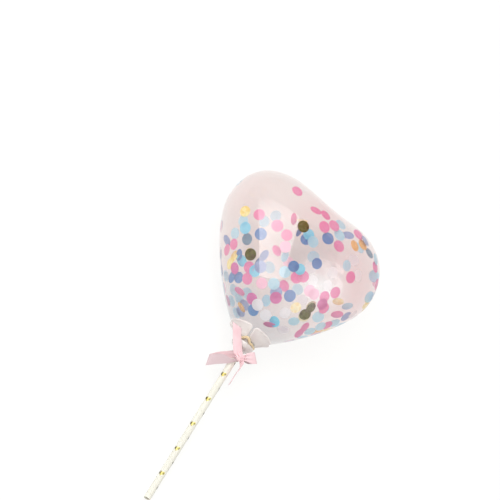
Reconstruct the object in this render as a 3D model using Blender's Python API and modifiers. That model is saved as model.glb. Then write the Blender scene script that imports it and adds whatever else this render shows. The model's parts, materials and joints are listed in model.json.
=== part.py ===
"""A small heart balloon of clear latex in a petal cup, on a paper straw, with a satin bow.

Run it with: blender --background --python part.py

The object is modelled upright in its own frame: the straw's axis is Z, the heart faces -Y, and
height 0 is the underside of the cup's hub. An empty then lays the whole object down on its back,
where it rests on a small flat spot on the belly and on the lower end of the straw.
"""

import math

import bmesh
import bpy
from mathutils import Matrix, Vector
from mathutils.geometry import interpolate_bezier

MM = 0.001

# Fits
FIT_GAP = 0.3 * MM

# Straw
STRAW_DIAMETER = 6.0 * MM
STRAW_WALL = 0.45 * MM
STRAW_LENGTH = 161.0 * MM
STRAW_SIDES = 24

# Cup: a hub with a socket for the straw, a groove for the balloon's rim, and petals that hold its cone
SOCKET_WALL = 1.2 * MM
SOCKET_BELOW_HUB = 3.0 * MM
SOCKET_DEPTH = 9.0 * MM
SOCKET_END_GAP = 0.5 * MM
HUB_FLOOR = 1.2 * MM
HUB_WALL = 1.2 * MM
TROUGH_WIDTH = 1.8 * MM
HUB_SHOULDER = 2.5 * MM
PETAL_THICKNESS = 1.0 * MM
PETAL_LENGTH = 16.0 * MM
PETALS = 4
PETAL_GAP = 1.4 * MM
PETAL_GAP_FOOT = 1.9 * MM
PETAL_CORNER = 4.0 * MM
CUP_SIDES = 60

# Balloon: a cone that sits in the cup, then the heart
CONE_ANGLE = math.radians(50.0)
CONE_BASE_CLEARANCE = 1.1 * MM
CONE_BASE_INSET = 0.7 * MM
HEART_WIDTH = 155.0 * MM
HEART_DEPTH = 92.0 * MM
WIDEST_HEIGHT = 104.8 * MM
DEEPEST_HEIGHT = 98.0 * MM
LOBE_HEIGHT = 148.3 * MM
LOBE_SPACING = 70.5 * MM
NOTCH_DEPTH = 4.0 * MM
HEART_LEAN = math.radians(-1.55)
FLAT_SPOT_DEPTH = 1.8 * MM
RING_POINTS = 48

# How far each stretch of the heart's outline keeps its direction, as a share of the heart's width
CONE_PULL = 0.127
FLANK_PULL = 0.18
SHOULDER_PULL = 0.21
LOBE_OUTER_PULL = 0.118
LOBE_INNER_PULL = 0.085
NOTCH_PULL = 0.16
BELLY_CONE_PULL = 0.10
BELLY_FLANK_PULL = 0.25
BELLY_SHOULDER_PULL = 0.25
BELLY_TOP_PULL = 0.19

# Mouth of the balloon: its neck leaves the cup between two petals, and its rolled rim lies in the groove
MOUTH_ROLL = 2.4 * MM
NECK_DIAMETER = 2.2 * MM

# Ribbon: its loops and tails are stretches that leave the knot
RIBBON_WIDTH = 10.0 * MM
RIBBON_THICKNESS = 0.8 * MM
RIBBON_BELOW_SOCKET = 0.5 * MM
WRAP_THICKNESS = 1.2 * MM
KNOT_SIZE = 9.0 * MM
KNOT_SINK = 0.4 * MM
LONG_LOOP = 30.0 * MM
SHORT_LOOP = 13.5 * MM
LOOP_OPENING = 8.0 * MM
RAISED_TAIL = 29.0 * MM
HANGING_TAIL = 27.0 * MM
TAIL_BULGE = 0.16

# The gap between two petals and the bow face this way, turned from the heart's front round the straw
BOW_TURN = math.radians(20.0)

# Directions at the bow, as shares to its right, forward and up the straw
KNOT_WAY = (0.58, 0.81, 0.0)
LONG_LOOP_WAY = (-0.81, 0.10, -0.65)
SHORT_LOOP_WAY = (0.88, 0.15, 0.45)
RAISED_TAIL_WAY = (-0.63, 0.45, 0.66)
RAISED_TAIL_FACE = (0.64, 0.77, 0.0)
HANGING_TAIL_WAY = (0.12, 0.0, -0.99)


def clear_scene():
    """Remove whatever the file holds before the model is made."""
    for obj in list(bpy.data.objects):
        bpy.data.objects.remove(obj, do_unlink=True)


def make_collection(name):
    """A new collection in the scene."""
    collection = bpy.data.collections.new(name)
    bpy.context.scene.collection.children.link(collection)
    return collection


def make_material(name, colour, roughness, alpha=1.0):
    """A plain Principled material."""
    material = bpy.data.materials.new(name)
    material.use_nodes = True
    shader = material.node_tree.nodes["Principled BSDF"]
    shader.inputs["Base Color"].default_value = (*colour, 1.0)
    shader.inputs["Roughness"].default_value = roughness
    shader.inputs["Metallic"].default_value = 0.0
    shader.inputs["Alpha"].default_value = alpha
    return material


def add_object(name, mesh, collection, parent, material=None):
    """An object that carries the mesh, in the collection and under the parent."""
    obj = bpy.data.objects.new(name, mesh)
    collection.objects.link(obj)
    obj.parent = parent
    if material:
        mesh.materials.append(material)
    return obj


def make_helper(obj):
    """Keep a cutter or a shape to be joined out of the model itself."""
    obj.hide_render = True
    obj.display_type = "WIRE"


def take_primitive(name, collection, parent):
    """The primitive that was just added, named and moved to the helpers' collection."""
    obj = bpy.context.object
    obj.name = name
    for other in list(obj.users_collection):
        other.objects.unlink(obj)
    collection.objects.link(obj)
    obj.parent = parent
    make_helper(obj)
    return obj


def smooth(mesh, angle=40.0):
    """Smooth shading with sharp edges where the shape turns."""
    mesh.shade_smooth()
    mesh.set_sharp_from_angle(angle=math.radians(angle))


def boolean(obj, other, operation):
    """A Boolean modifier with the exact solver."""
    modifier = obj.modifiers.new(f"{operation.lower()} {other.name}", "BOOLEAN")
    modifier.operation = operation
    modifier.solver = "EXACT"
    modifier.object = other


def turned(name, profile, sides, collection, parent, material=None):
    """A body turned about Z from a closed profile of (radius, height) points.

    The profile runs down the outer side first, and back up the inner side or the axis.
    """
    mesh = bpy.data.meshes.new(name)
    points = [(radius, 0.0, height) for radius, height in profile]
    edges = [(i, (i + 1) % len(points)) for i in range(len(points))]
    mesh.from_pydata(points, edges, [])
    obj = add_object(name, mesh, collection, parent, material)
    screw = obj.modifiers.new("turn", "SCREW")
    screw.axis = "Z"
    screw.steps = sides
    screw.render_steps = sides
    screw.use_merge_vertices = True
    screw.merge_threshold = 0.00001
    screw.use_smooth_shade = True
    return obj


def mesh_of_curve(curve_obj, name, collection, parent):
    """The curve's evaluated shape as a welded mesh object; the curve is removed."""
    graph = bpy.context.evaluated_depsgraph_get()
    mesh = bpy.data.meshes.new_from_object(curve_obj.evaluated_get(graph))
    mesh.name = name
    work = bmesh.new()
    work.from_mesh(mesh)
    bmesh.ops.remove_doubles(work, verts=work.verts, dist=0.000001)
    bmesh.ops.recalc_face_normals(work, faces=work.faces)
    work.to_mesh(mesh)
    work.free()
    obj = add_object(name, mesh, collection, parent)
    obj.matrix_basis = curve_obj.matrix_basis.copy()
    bpy.data.objects.remove(curve_obj, do_unlink=True)
    return obj


def make_curve(name, points, closed, collection, parent):
    """A poly curve object through the points, ready for its extrusion or bevel to be set."""
    curve = bpy.data.curves.new(name, "CURVE")
    spline = curve.splines.new("POLY")
    spline.points.add(len(points) - 1)
    for spot, point in zip(spline.points, points):
        spot.co = (*point, 1.0)
    spline.use_cyclic_u = closed
    obj = bpy.data.objects.new(name, curve)
    collection.objects.link(obj)
    obj.parent = parent
    return obj


def bezier(start, start_handle, end_handle, end, count):
    """Points on one Bezier stretch, its start left out so that stretches follow on."""
    corners = [Vector(point) for point in (start, start_handle, end_handle, end)]
    return interpolate_bezier(*corners, count + 1)[1:]


def bore_radius():
    """Inner radius of the cup's socket, with the straw's clearance."""
    return STRAW_DIAMETER / 2 + FIT_GAP


def socket_radius():
    """Outer radius of the cup's socket."""
    return bore_radius() + SOCKET_WALL


def socket_top():
    """Height of the socket's closed end."""
    return SOCKET_DEPTH - SOCKET_BELOW_HUB


def straw_top():
    """Height of the straw's upper end, just short of the end of its socket."""
    return socket_top() - SOCKET_END_GAP


def straw_bottom():
    """Height of the straw's lower end."""
    return straw_top() - STRAW_LENGTH


def waist_radius():
    """Outer radius of the hub in the groove of the balloon's rim."""
    return socket_radius() + TROUGH_WIDTH + HUB_WALL


def cone_base():
    """Radius and height of the flat lower end of the balloon's cone."""
    return Vector((waist_radius() - CONE_BASE_INSET, socket_top() + HUB_FLOOR + CONE_BASE_CLEARANCE))


def cone_rise():
    """Direction up the cone, in radius and height."""
    return Vector((math.sin(CONE_ANGLE), math.cos(CONE_ANGLE)))


def cone_outward():
    """Direction away from the cone's surface, in radius and height."""
    return Vector((math.cos(CONE_ANGLE), -math.sin(CONE_ANGLE)))


def petal_top():
    """Radius and height where the petals and the straight cone end."""
    return cone_base() + cone_rise() * PETAL_LENGTH


def heart_outlines():
    """Two lists of (offset, height) points: up the heart's edge, and up the middle of its belly.

    Both start on the cone in the cup and end at the notch, and their points go in pairs.
    """
    up = Vector((0.0, HEART_WIDTH))
    out = Vector((HEART_WIDTH, 0.0))
    along_cone = cone_rise() * HEART_WIDTH
    base = cone_base()
    cone_top = petal_top()
    widest = Vector((HEART_WIDTH / 2, WIDEST_HEIGHT))
    deepest = Vector((HEART_DEPTH / 2, DEEPEST_HEIGHT))
    lobe = Vector((LOBE_SPACING / 2, LOBE_HEIGHT))
    notch = Vector((0.0, LOBE_HEIGHT - NOTCH_DEPTH))

    edge = [base, (base + cone_top) / 2, cone_top]
    edge += bezier(cone_top, cone_top + along_cone * CONE_PULL, widest - up * FLANK_PULL, widest, 12)
    edge += bezier(widest, widest + up * SHOULDER_PULL, lobe + out * LOBE_OUTER_PULL, lobe, 9)
    edge += bezier(lobe, lobe - out * LOBE_INNER_PULL, notch + out * NOTCH_PULL, notch, 7)

    belly = [base, (base + cone_top) / 2, cone_top]
    belly += bezier(
        cone_top, cone_top + along_cone * BELLY_CONE_PULL, deepest - up * BELLY_FLANK_PULL, deepest, 12
    )
    belly += bezier(
        deepest, deepest + up * BELLY_SHOULDER_PULL, notch + out * BELLY_TOP_PULL, notch, 16
    )
    return edge, belly


def heart_point(edge_point, belly_point, angle):
    """The point at this angle on the ring through an edge point and a belly point, with the heart's lean."""
    across = math.cos(angle)
    forward = math.sin(angle)
    height = edge_point.y * across**2 + belly_point.y * forward**2
    lean = math.tan(HEART_LEAN) * max(0.0, height - petal_top().y)
    return edge_point.x * across + lean, belly_point.x * forward, height


def heart_mesh():
    """The inflated heart, lofted through rings that run from the cone up to the notch."""
    edge, belly = heart_outlines()
    work = bmesh.new()
    rings = []
    for edge_point, belly_point in zip(edge[:-1], belly[:-1]):
        angles = [2 * math.pi * i / RING_POINTS for i in range(RING_POINTS)]
        rings.append([work.verts.new(heart_point(edge_point, belly_point, angle)) for angle in angles])
    for lower, upper in zip(rings, rings[1:]):
        for i in range(RING_POINTS):
            j = (i + 1) % RING_POINTS
            work.faces.new((lower[i], lower[j], upper[j], upper[i]))
    work.faces.new(tuple(reversed(rings[0])))
    notch = work.verts.new(heart_point(edge[-1], belly[-1], 0.0))
    for i in range(RING_POINTS):
        work.faces.new((rings[-1][i], rings[-1][(i + 1) % RING_POINTS], notch))
    mesh = bpy.data.meshes.new("balloon")
    work.to_mesh(mesh)
    work.free()
    smooth(mesh)
    return mesh


def rim_circle():
    """Radius and height of the rolled rim, in its groove and clear of the petals above it."""
    roll = MOUTH_ROLL / 2
    radius = waist_radius() + FIT_GAP + roll
    base = cone_base()
    petal_offset = FIT_GAP + PETAL_THICKNESS + FIT_GAP + roll
    on_cone = base.y + (radius - base.x) / math.tan(CONE_ANGLE)
    return Vector((radius, on_cone - petal_offset / math.sin(CONE_ANGLE)))


def neck_path():
    """The straight run of the neck, from inside the cone out to the rolled rim behind the bow."""
    away = Matrix.Rotation(-BOW_TURN, 4, "Z") @ Vector((0.0, 1.0, 0.0))
    base = cone_base()
    inner = away * (base.x - NECK_DIAMETER)
    inner.z = base.y + NECK_DIAMETER
    rim = rim_circle()
    outer = away * rim.x
    outer.z = rim.y
    return inner, outer


def round_bar(name, start, end, diameter, collection, parent):
    """A straight round bar between two points, as a mesh."""
    bar = make_curve(name + " path", [start, end], False, collection, parent)
    bar.data.dimensions = "3D"
    bar.data.bevel_depth = diameter / 2
    bar.data.bevel_resolution = 3
    bar.data.use_fill_caps = True
    return mesh_of_curve(bar, name, collection, parent)


def make_balloon(model, cutters, lying):
    """The heart with its neck and its rolled rim."""
    latex = make_material("clear pink latex", (0.92, 0.80, 0.80), 0.15, alpha=0.35)
    balloon = add_object("balloon", heart_mesh(), model, lying, latex)

    rim = rim_circle()
    bpy.ops.mesh.primitive_torus_add(
        major_radius=rim.x, minor_radius=MOUTH_ROLL / 2, major_segments=CUP_SIDES, minor_segments=10
    )
    roll = take_primitive("rolled rim", cutters, lying)
    roll.location = (0.0, 0.0, rim.y)

    neck = round_bar("neck", *neck_path(), NECK_DIAMETER, cutters, lying)
    make_helper(neck)
    boolean(balloon, neck, "UNION")
    boolean(balloon, roll, "UNION")
    return balloon


def cup_profile():
    """Closed section of the cup, from the tip of a petal down the outside and back up the inside."""
    base = cone_base()
    inner_offset = cone_outward() * FIT_GAP
    outer_offset = cone_outward() * (FIT_GAP + PETAL_THICKNESS)

    def on_petal(offset, radius):
        """The point of the petal's inner or outer face that has this radius."""
        start = base + offset
        return start + cone_rise() * ((radius - start.x) / cone_rise().x)

    waist = waist_radius()
    shoulder = waist + HUB_SHOULDER
    socket = socket_radius()
    bore = bore_radius()
    groove_floor = rim_circle().y - MOUTH_ROLL / 2 - FIT_GAP
    bowl = []
    for i in range(7):
        angle = math.radians(15.0 * i)
        bowl.append((socket + (shoulder - socket) * math.cos(angle), groove_floor * (1 - math.sin(angle))))
    return [
        petal_top() + inner_offset,
        petal_top() + outer_offset,
        on_petal(outer_offset, waist),
        (waist, groove_floor),
        *bowl,
        (socket, -SOCKET_BELOW_HUB),
        (bore, -SOCKET_BELOW_HUB),
        (bore, socket_top()),
        (0.0, socket_top()),
        (0.0, socket_top() + HUB_FLOOR),
        (socket, socket_top() + HUB_FLOOR),
        (socket, groove_floor),
        (waist - HUB_WALL, groove_floor),
        on_petal(inner_offset, waist - HUB_WALL),
    ]


def petal_gap_outline():
    """Outline of the space between two petals: a slot with a round foot that opens to round corners.

    X runs round the cup and Y up the petals, from the foot of the cone.
    """
    half = PETAL_GAP / 2
    slot = []
    for i in range(5):
        angle = math.radians(22.5 * i)
        slot.append((half * math.sin(angle), PETAL_GAP_FOOT + half - half * math.cos(angle)))
    corner = []
    for i in range(7):
        angle = math.radians(15.0 * i)
        corner.append(
            (
                half + PETAL_CORNER * (1 - math.cos(angle)),
                PETAL_LENGTH - PETAL_CORNER * (1 - math.sin(angle)),
            )
        )
    right = slot + corner + [(half + PETAL_CORNER, PETAL_LENGTH + PETAL_CORNER)]
    left = [(-x, y) for x, y in reversed(right[1:])]
    return [(x, y, 0.0) for x, y in right + left]


def gap_matrix(turn):
    """Lays a gap's outline on the petals' slope, at this turn round the straw."""
    slope = Matrix.Rotation(math.pi / 2 - CONE_ANGLE, 4, "X")
    base = cone_base()
    foot = Matrix.Translation((0.0, base.x, base.y))
    return Matrix.Rotation(turn, 4, "Z") @ foot @ slope


def make_cup(model, cutters, lying):
    """The turned cup, with the gaps cut between its petals and the hole for the neck."""
    plastic = make_material("white translucent plastic", (0.86, 0.84, 0.83), 0.35, alpha=0.8)
    cup = turned("balloon_cup", cup_profile(), CUP_SIDES, model, lying, plastic)

    for i in range(PETALS):
        turn = math.pi - BOW_TURN + 2 * math.pi * i / PETALS
        curve = make_curve(f"gap {i} outline", petal_gap_outline(), True, cutters, lying)
        curve.data.dimensions = "2D"
        curve.data.fill_mode = "BOTH"
        curve.data.extrude = 3 * (PETAL_THICKNESS + FIT_GAP)
        curve.matrix_basis = gap_matrix(turn)
        gap = mesh_of_curve(curve, f"petal gap {i}", cutters, lying)
        make_helper(gap)
        boolean(cup, gap, "DIFFERENCE")

    hole = round_bar("neck hole", *neck_path(), NECK_DIAMETER + 2 * FIT_GAP, cutters, lying)
    make_helper(hole)
    boolean(cup, hole, "DIFFERENCE")
    return cup


def make_straw(model, lying):
    """The paper straw, an open tube."""
    paper = make_material("white paper", (0.90, 0.89, 0.82), 0.6)
    outer = STRAW_DIAMETER / 2
    inner = outer - STRAW_WALL
    top = straw_top()
    bottom = straw_bottom()
    profile = [(outer, top), (outer, bottom), (inner, bottom), (inner, top)]
    return turned("straw", profile, STRAW_SIDES, model, lying, paper)


def bow_vector(shares):
    """A direction or place at the bow, from its shares to the right, forward and up the straw."""
    right, forward, up = shares
    return Matrix.Rotation(-BOW_TURN, 4, "Z") @ Vector((right, -forward, up))


def strip_matrix(start, along, outward):
    """Frame of a flat strip: X along it, Y the way that it bulges, Z across its width."""
    x = along.normalized()
    y = (outward - x * outward.dot(x)).normalized()
    z = x.cross(y)
    frame = Matrix((x, y, z)).transposed().to_4x4()
    frame.translation = start
    return frame


def make_strip(name, points, closed, frame, cutters, lying):
    """A stretch of ribbon: a line in a plane, drawn out to the ribbon's width and given its thickness."""
    curve = make_curve(name + " line", [(x, y, 0.0) for x, y in points], closed, cutters, lying)
    curve.data.dimensions = "2D"
    curve.data.fill_mode = "NONE"
    curve.data.extrude = RIBBON_WIDTH / 2
    curve.matrix_basis = frame
    strip = mesh_of_curve(curve, name, cutters, lying)
    solidify = strip.modifiers.new("thickness", "SOLIDIFY")
    solidify.thickness = RIBBON_THICKNESS
    solidify.offset = 0.0
    solidify.use_even_offset = True
    make_helper(strip)
    return strip


def loop_line(length):
    """A teardrop in the strip's plane, out from the knot and back to it, as wide as the loops' opening."""
    side = LOOP_OPENING / 2
    outward = bezier((0.0, 0.0), (0.35 * length, 0.9 * side), (length, 1.4 * side), (length, 0.0), 9)
    back = [(point.x, -point.y) for point in reversed(outward[:-1])]
    return [(0.0, 0.0)] + [(point.x, point.y) for point in outward] + back


def tail_line(length):
    """A strip's line that leaves the knot, bulges and straightens out."""
    bulge = TAIL_BULGE * length
    line = bezier((0.0, 0.0), (0.2 * length, bulge), (0.6 * length, bulge), (length, 0.0), 9)
    return [(0.0, 0.0)] + [(point.x, point.y) for point in line]


def make_ribbon(model, cutters, lying):
    """The satin ribbon: a turn round the straw, a knot, two loops and two tails, as one soft solid."""
    satin = make_material("pale pink satin", (0.93, 0.68, 0.72), 0.4)
    inner = bore_radius()
    outer = inner + WRAP_THICKNESS
    wrap_top = -SOCKET_BELOW_HUB - RIBBON_BELOW_SOCKET
    wrap_bottom = wrap_top - RIBBON_WIDTH
    wrap = [(outer, wrap_top), (outer, wrap_bottom), (inner, wrap_bottom), (inner, wrap_top)]
    ribbon = turned("ribbon", wrap, STRAW_SIDES, model, lying, satin)

    knot_place = bow_vector(KNOT_WAY).normalized() * (outer - KNOT_SINK + KNOT_SIZE / 2)
    knot_place.z = (wrap_top + wrap_bottom) / 2
    bpy.ops.mesh.primitive_uv_sphere_add(segments=20, ring_count=12, radius=KNOT_SIZE / 2)
    knot = take_primitive("knot", cutters, lying)
    knot.location = knot_place

    right = (1.0, 0.0, 0.0)
    forward = (0.0, 1.0, 0.0)
    stretches = [
        ("long loop", loop_line(LONG_LOOP), True, LONG_LOOP_WAY, forward),
        ("short loop", loop_line(SHORT_LOOP), True, SHORT_LOOP_WAY, forward),
        ("raised tail", tail_line(RAISED_TAIL), False, RAISED_TAIL_WAY, RAISED_TAIL_FACE),
        ("hanging tail", tail_line(HANGING_TAIL), False, HANGING_TAIL_WAY, right),
    ]
    boolean(ribbon, knot, "UNION")
    for name, line, closed, way, face in stretches:
        frame = strip_matrix(knot_place, bow_vector(way), bow_vector(face))
        boolean(ribbon, make_strip(name, line, closed, frame, cutters, lying), "UNION")
    return ribbon


def lying_tilt():
    """Tilt of the straw's axis from the floor, with the straw's end and the pressed belly on it."""
    _, belly = heart_outlines()
    low, high = 0.0, math.pi / 4
    for _ in range(60):
        tilt = (low + high) / 2
        lowest = min(
            (STRAW_DIAMETER / 2 - point.x) * math.cos(tilt) + (point.y - straw_bottom()) * math.sin(tilt)
            for point in belly
        )
        if lowest < -FLAT_SPOT_DEPTH:
            low = tilt
        else:
            high = tilt
    return tilt


def lay_down(lying):
    """Lay the object on its back, with the lower end of the straw on the floor."""
    tilt = lying_tilt()
    lying.rotation_euler = (tilt - math.pi / 2, 0.0, 0.0)
    axis_height = STRAW_DIAMETER / 2 * math.cos(tilt) - straw_bottom() * math.sin(tilt)
    lying.location = (0.0, 0.0, axis_height)


def press_belly(balloon, cutters):
    """Cut the belly flat where it rests on the floor."""
    bpy.ops.mesh.primitive_cube_add(size=1.0)
    floor = take_primitive("floor block", cutters, None)
    thickness = 10 * FLAT_SPOT_DEPTH
    reach = 4 * LOBE_HEIGHT
    floor.data.transform(Matrix.Diagonal((reach, reach, thickness, 1.0)))
    floor.location = (0.0, 0.0, -thickness / 2)
    boolean(balloon, floor, "DIFFERENCE")
    return floor


def centre_on_floor(model, lying, floor):
    """Move the object along the floor until the middle of its box is over the origin."""
    bpy.context.view_layer.update()
    graph = bpy.context.evaluated_depsgraph_get()
    points = []
    for obj in model.objects:
        if obj.type == "MESH":
            evaluated = obj.evaluated_get(graph)
            points += [evaluated.matrix_world @ vertex.co for vertex in evaluated.data.vertices]
    for axis in (0, 1):
        along = [point[axis] for point in points]
        middle = (min(along) + max(along)) / 2
        lying.location[axis] -= middle
        floor.location[axis] -= middle


def main():
    clear_scene()
    model = make_collection("heart balloon")
    cutters = make_collection("cutters and joined shapes")
    lying = bpy.data.objects.new("lying frame", None)
    model.objects.link(lying)

    balloon = make_balloon(model, cutters, lying)
    make_cup(model, cutters, lying)
    make_straw(model, lying)
    make_ribbon(model, cutters, lying)
    lay_down(lying)
    floor = press_belly(balloon, cutters)
    centre_on_floor(model, lying, floor)


main()
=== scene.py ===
# %% [markdown]
# # A heart balloon on a paper straw
#
# The object is a small clear balloon in the shape of a heart, with round paper and foil confetti
# inside. Its neck sits in a white cup of four petals, the cup is plugged on a paper straw, and a
# satin ribbon is tied in a bow under the cup. It lies on its back on a white table.
#
# The plain solids of the part come in as a fixed frame. Every piece below is built around them in
# metres, and stands where its solid stands.

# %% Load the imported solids
import json
import math
import random

import bmesh
import bpy
from mathutils import Matrix, Vector
from mathutils.bvhtree import BVHTree
from mathutils.geometry import interpolate_bezier


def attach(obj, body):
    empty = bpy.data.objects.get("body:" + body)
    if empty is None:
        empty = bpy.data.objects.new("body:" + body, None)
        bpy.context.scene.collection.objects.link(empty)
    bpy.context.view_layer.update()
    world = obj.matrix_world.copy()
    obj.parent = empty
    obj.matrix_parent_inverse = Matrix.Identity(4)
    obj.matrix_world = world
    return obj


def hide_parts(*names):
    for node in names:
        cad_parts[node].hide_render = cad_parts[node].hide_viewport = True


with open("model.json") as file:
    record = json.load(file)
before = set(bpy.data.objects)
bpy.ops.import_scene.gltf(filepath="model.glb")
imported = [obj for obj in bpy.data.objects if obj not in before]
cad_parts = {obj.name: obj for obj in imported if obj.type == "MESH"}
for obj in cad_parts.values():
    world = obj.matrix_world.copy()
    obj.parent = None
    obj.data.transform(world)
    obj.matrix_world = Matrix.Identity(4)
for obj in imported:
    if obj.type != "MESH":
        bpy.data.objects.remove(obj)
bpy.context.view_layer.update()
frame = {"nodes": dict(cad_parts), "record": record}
print("solids:", ", ".join(sorted(frame["nodes"])))

# %% [markdown]
# ## The lying frame
#
# The maker thinks of the toy upright: the straw's axis is Z, the heart looks along -Y, and height 0
# is the underside of the cup. On the table it lies tilted, so one matrix turns upright coordinates
# into table coordinates. The place and slope of the straw's end are read from the record, so the
# pieces follow the solids without any fitting by eye.

# %% Turn upright coordinates into table coordinates
MM = 0.001
STRAW_RADIUS = 3.0 * MM
STRAW_WALL = 0.45 * MM
STRAW_BOTTOM = -155.5 * MM

straw_end = next(m for m in frame["record"]["mounts"] if m["name"] == "straw_end")
right = Vector((1.0, 0.0, 0.0))
up_straw = -Vector(straw_end["axis"]).normalized()
forward = right.cross(up_straw)
end_centre = Vector(straw_end["pos_m"]) - forward * (STRAW_RADIUS - STRAW_WALL / 2)
origin = end_centre - up_straw * STRAW_BOTTOM
lying = Matrix((right, -forward, up_straw)).transposed().to_4x4()
lying.translation = origin
upright = lying.inverted()
print("height 0 on the straw's axis, in mm:", [round(v / MM, 2) for v in origin])

# %% [markdown]
# ## The camera
#
# The photograph shows the heart's face from 20 degrees to its left and 20 degrees below, with the
# straw leaning. A very long lens far away keeps the lines parallel, as the photograph does. The
# camera comes first because some confetti is placed later by its spot in the picture.

# %% Place the camera
VIEW_FROM_BELOW = math.radians(20.0)
VIEW_FROM_LEFT = math.radians(20.0)
STRAW_LEAN = math.radians(32.06)
PHOTO_PIXELS = 500
PIXEL = 0.84 * MM
ORIGIN_PIXEL = Vector((239.95, 349.19))
HEART_MIDDLE_HEIGHT = 85.0 * MM
LENS = 1000.0
SENSOR = 36.0
CLIP_END = 100.0

sideways_view = forward * math.cos(VIEW_FROM_LEFT) - right * math.sin(VIEW_FROM_LEFT)
to_camera = sideways_view * math.cos(VIEW_FROM_BELOW) - up_straw * math.sin(VIEW_FROM_BELOW)
straw_in_view = (up_straw - to_camera * up_straw.dot(to_camera)).normalized()
across_view = straw_in_view.cross(to_camera)
photo_right = straw_in_view * math.sin(STRAW_LEAN) + across_view * math.cos(STRAW_LEAN)
photo_up = straw_in_view * math.cos(STRAW_LEAN) - across_view * math.sin(STRAW_LEAN)


def picture_plane_point(x, y):
    """The point in the plane through the heart's middle that shows at this pixel."""
    depth = to_camera.dot(up_straw) * HEART_MIDDLE_HEIGHT
    shift = photo_right * (x - ORIGIN_PIXEL.x) - photo_up * (y - ORIGIN_PIXEL.y)
    return origin + to_camera * depth + shift * PIXEL


def pixel_of(point):
    """The pixel (x, y) at which a point shows."""
    sight = aim.inverted() @ point
    scale = camera_distance / -sight.z / PIXEL
    return PHOTO_PIXELS / 2 + sight.x * scale, PHOTO_PIXELS / 2 - sight.y * scale


def add_object(name, data):
    """A new object with this data, in the scene."""
    made = bpy.data.objects.new(name, data)
    bpy.context.scene.collection.objects.link(made)
    return made


camera = add_object("camera", bpy.data.cameras.new("camera"))
camera.data.lens = LENS
camera.data.sensor_width = SENSOR
camera.data.clip_end = CLIP_END
camera_distance = PHOTO_PIXELS * PIXEL * LENS / SENSOR
photo_middle = picture_plane_point(PHOTO_PIXELS / 2, PHOTO_PIXELS / 2)
aim = Matrix((photo_right, photo_up, to_camera)).transposed().to_4x4()
aim.translation = photo_middle + to_camera * camera_distance
camera.matrix_world = aim
bpy.context.scene.camera = camera
print(f"camera {camera_distance:.2f} m away")

# %% [markdown]
# ## The studio
#
# Product photographs on pure white are often taken on a light table: a pale sheet that glows a
# little from below, so that no hard shadow shows. One big softbox close to the camera's line gives
# the long bright reflection on the left of the film and its upside-down twin on the far wall. Its
# cloth hangs at a slant, so it is a glowing panel with five corners and not a rectangular lamp. A
# black flag beside it darkens the film next to the reflection, and a dim even surround fills the
# rest.

# %% Helpers for the studio, which the pieces use too
def new_material(name, **settings):
    """A material with a Principled shader; settings are its sockets, spaces written as _."""
    material = bpy.data.materials.new(name)
    material.use_nodes = True
    shader = material.node_tree.nodes["Principled BSDF"]
    for socket, value in settings.items():
        shader.inputs[socket.replace("_", " ")].default_value = value
    return material, material.node_tree, shader


def add_values(piece, name, values):
    """One number for each point of the mesh, which a material can read by its name."""
    layer = piece.data.attributes.new(name, "FLOAT", "POINT")
    layer.data.foreach_set("value", values)


def mesh_value(tree, name):
    """The output that reads the mesh's numbers of this name."""
    reader = tree.nodes.new("ShaderNodeAttribute")
    reader.attribute_name = name
    return reader.outputs["Fac"]


# %% Light table, softbox, flag and surround
FLOOR_RADIUS = 15.0
FLOOR_SIDES = 96
FLOOR_COLOUR = (0.2, 0.2, 0.199, 1.0)
FLOOR_ROUGHNESS = 0.7
FLOOR_GLOW = 0.78
GLOW_COLOUR = (1.0, 1.0, 0.985, 1.0)
SURROUND_COLOUR = (1.0, 1.0, 0.99, 1.0)
SURROUND_SHOWN = 1.1
SURROUND_LIGHT = 0.75
SOFTBOX_REACH = 1.2
SOFTBOX_WAY = (0.13, 0.36, 0.92)
SOFTBOX_GLOW = 3.9
SOFTBOX_COLOUR = (1.0, 0.99, 0.985, 1.0)
SOFTBOX_CORNERS = ((-0.50, 1.10), (0.64, 0.46), (0.27, -0.60), (-0.75, -0.60), (-0.56, -0.03))
CORNER_GLOW = (0.0, 0.7, 0.75, 1.05, 1.3)
FLAG_CORNERS = ((0.66, 0.46), (2.2, 0.3), (2.2, -0.9), (0.29, -0.62))
BLACK = (0.0, 0.0, 0.0, 1.0)


def make_light_table():
    """The pale glowing sheet that the object lies on."""
    sheet = bmesh.new()
    bmesh.ops.create_circle(sheet, cap_ends=True, radius=FLOOR_RADIUS, segments=FLOOR_SIDES)
    mesh = bpy.data.meshes.new("light_table")
    sheet.to_mesh(mesh)
    sheet.free()
    material, _, _ = new_material(
        "white light table", Base_Color=FLOOR_COLOUR, Roughness=FLOOR_ROUGHNESS,
        Emission_Color=GLOW_COLOUR, Emission_Strength=FLOOR_GLOW,
    )
    mesh.materials.append(material)
    table = add_object("light_table", mesh)


def make_panel(name, corners, glows):
    """A flat panel beside the camera's line, facing the heart; each corner has its own glow."""
    across, above, near = SOFTBOX_WAY
    way = (photo_right * across + photo_up * above + to_camera * near).normalized()
    side = (photo_right - way * photo_right.dot(way)).normalized()
    middle = origin + up_straw * HEART_MIDDLE_HEIGHT + way * SOFTBOX_REACH
    mesh = bpy.data.meshes.new(name)
    points = [tuple(middle + side * x + way.cross(side) * y) for x, y in corners]
    mesh.from_pydata(points, [], [tuple(range(len(points)))])
    panel = add_object(name, mesh)
    add_values(panel, "glow", glows)
    material, tree, shader = new_material(
        name + " cloth", Base_Color=BLACK, Emission_Color=SOFTBOX_COLOUR
    )
    tree.links.new(mesh_value(tree, "glow"), shader.inputs["Emission Strength"])
    mesh.materials.append(material)
    panel.visible_camera = False
    return panel


def make_softbox():
    """The lamp: a panel with a slanted top, brighter towards its lower left."""
    make_panel("softbox", SOFTBOX_CORNERS, [SOFTBOX_GLOW * share for share in CORNER_GLOW])


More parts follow.
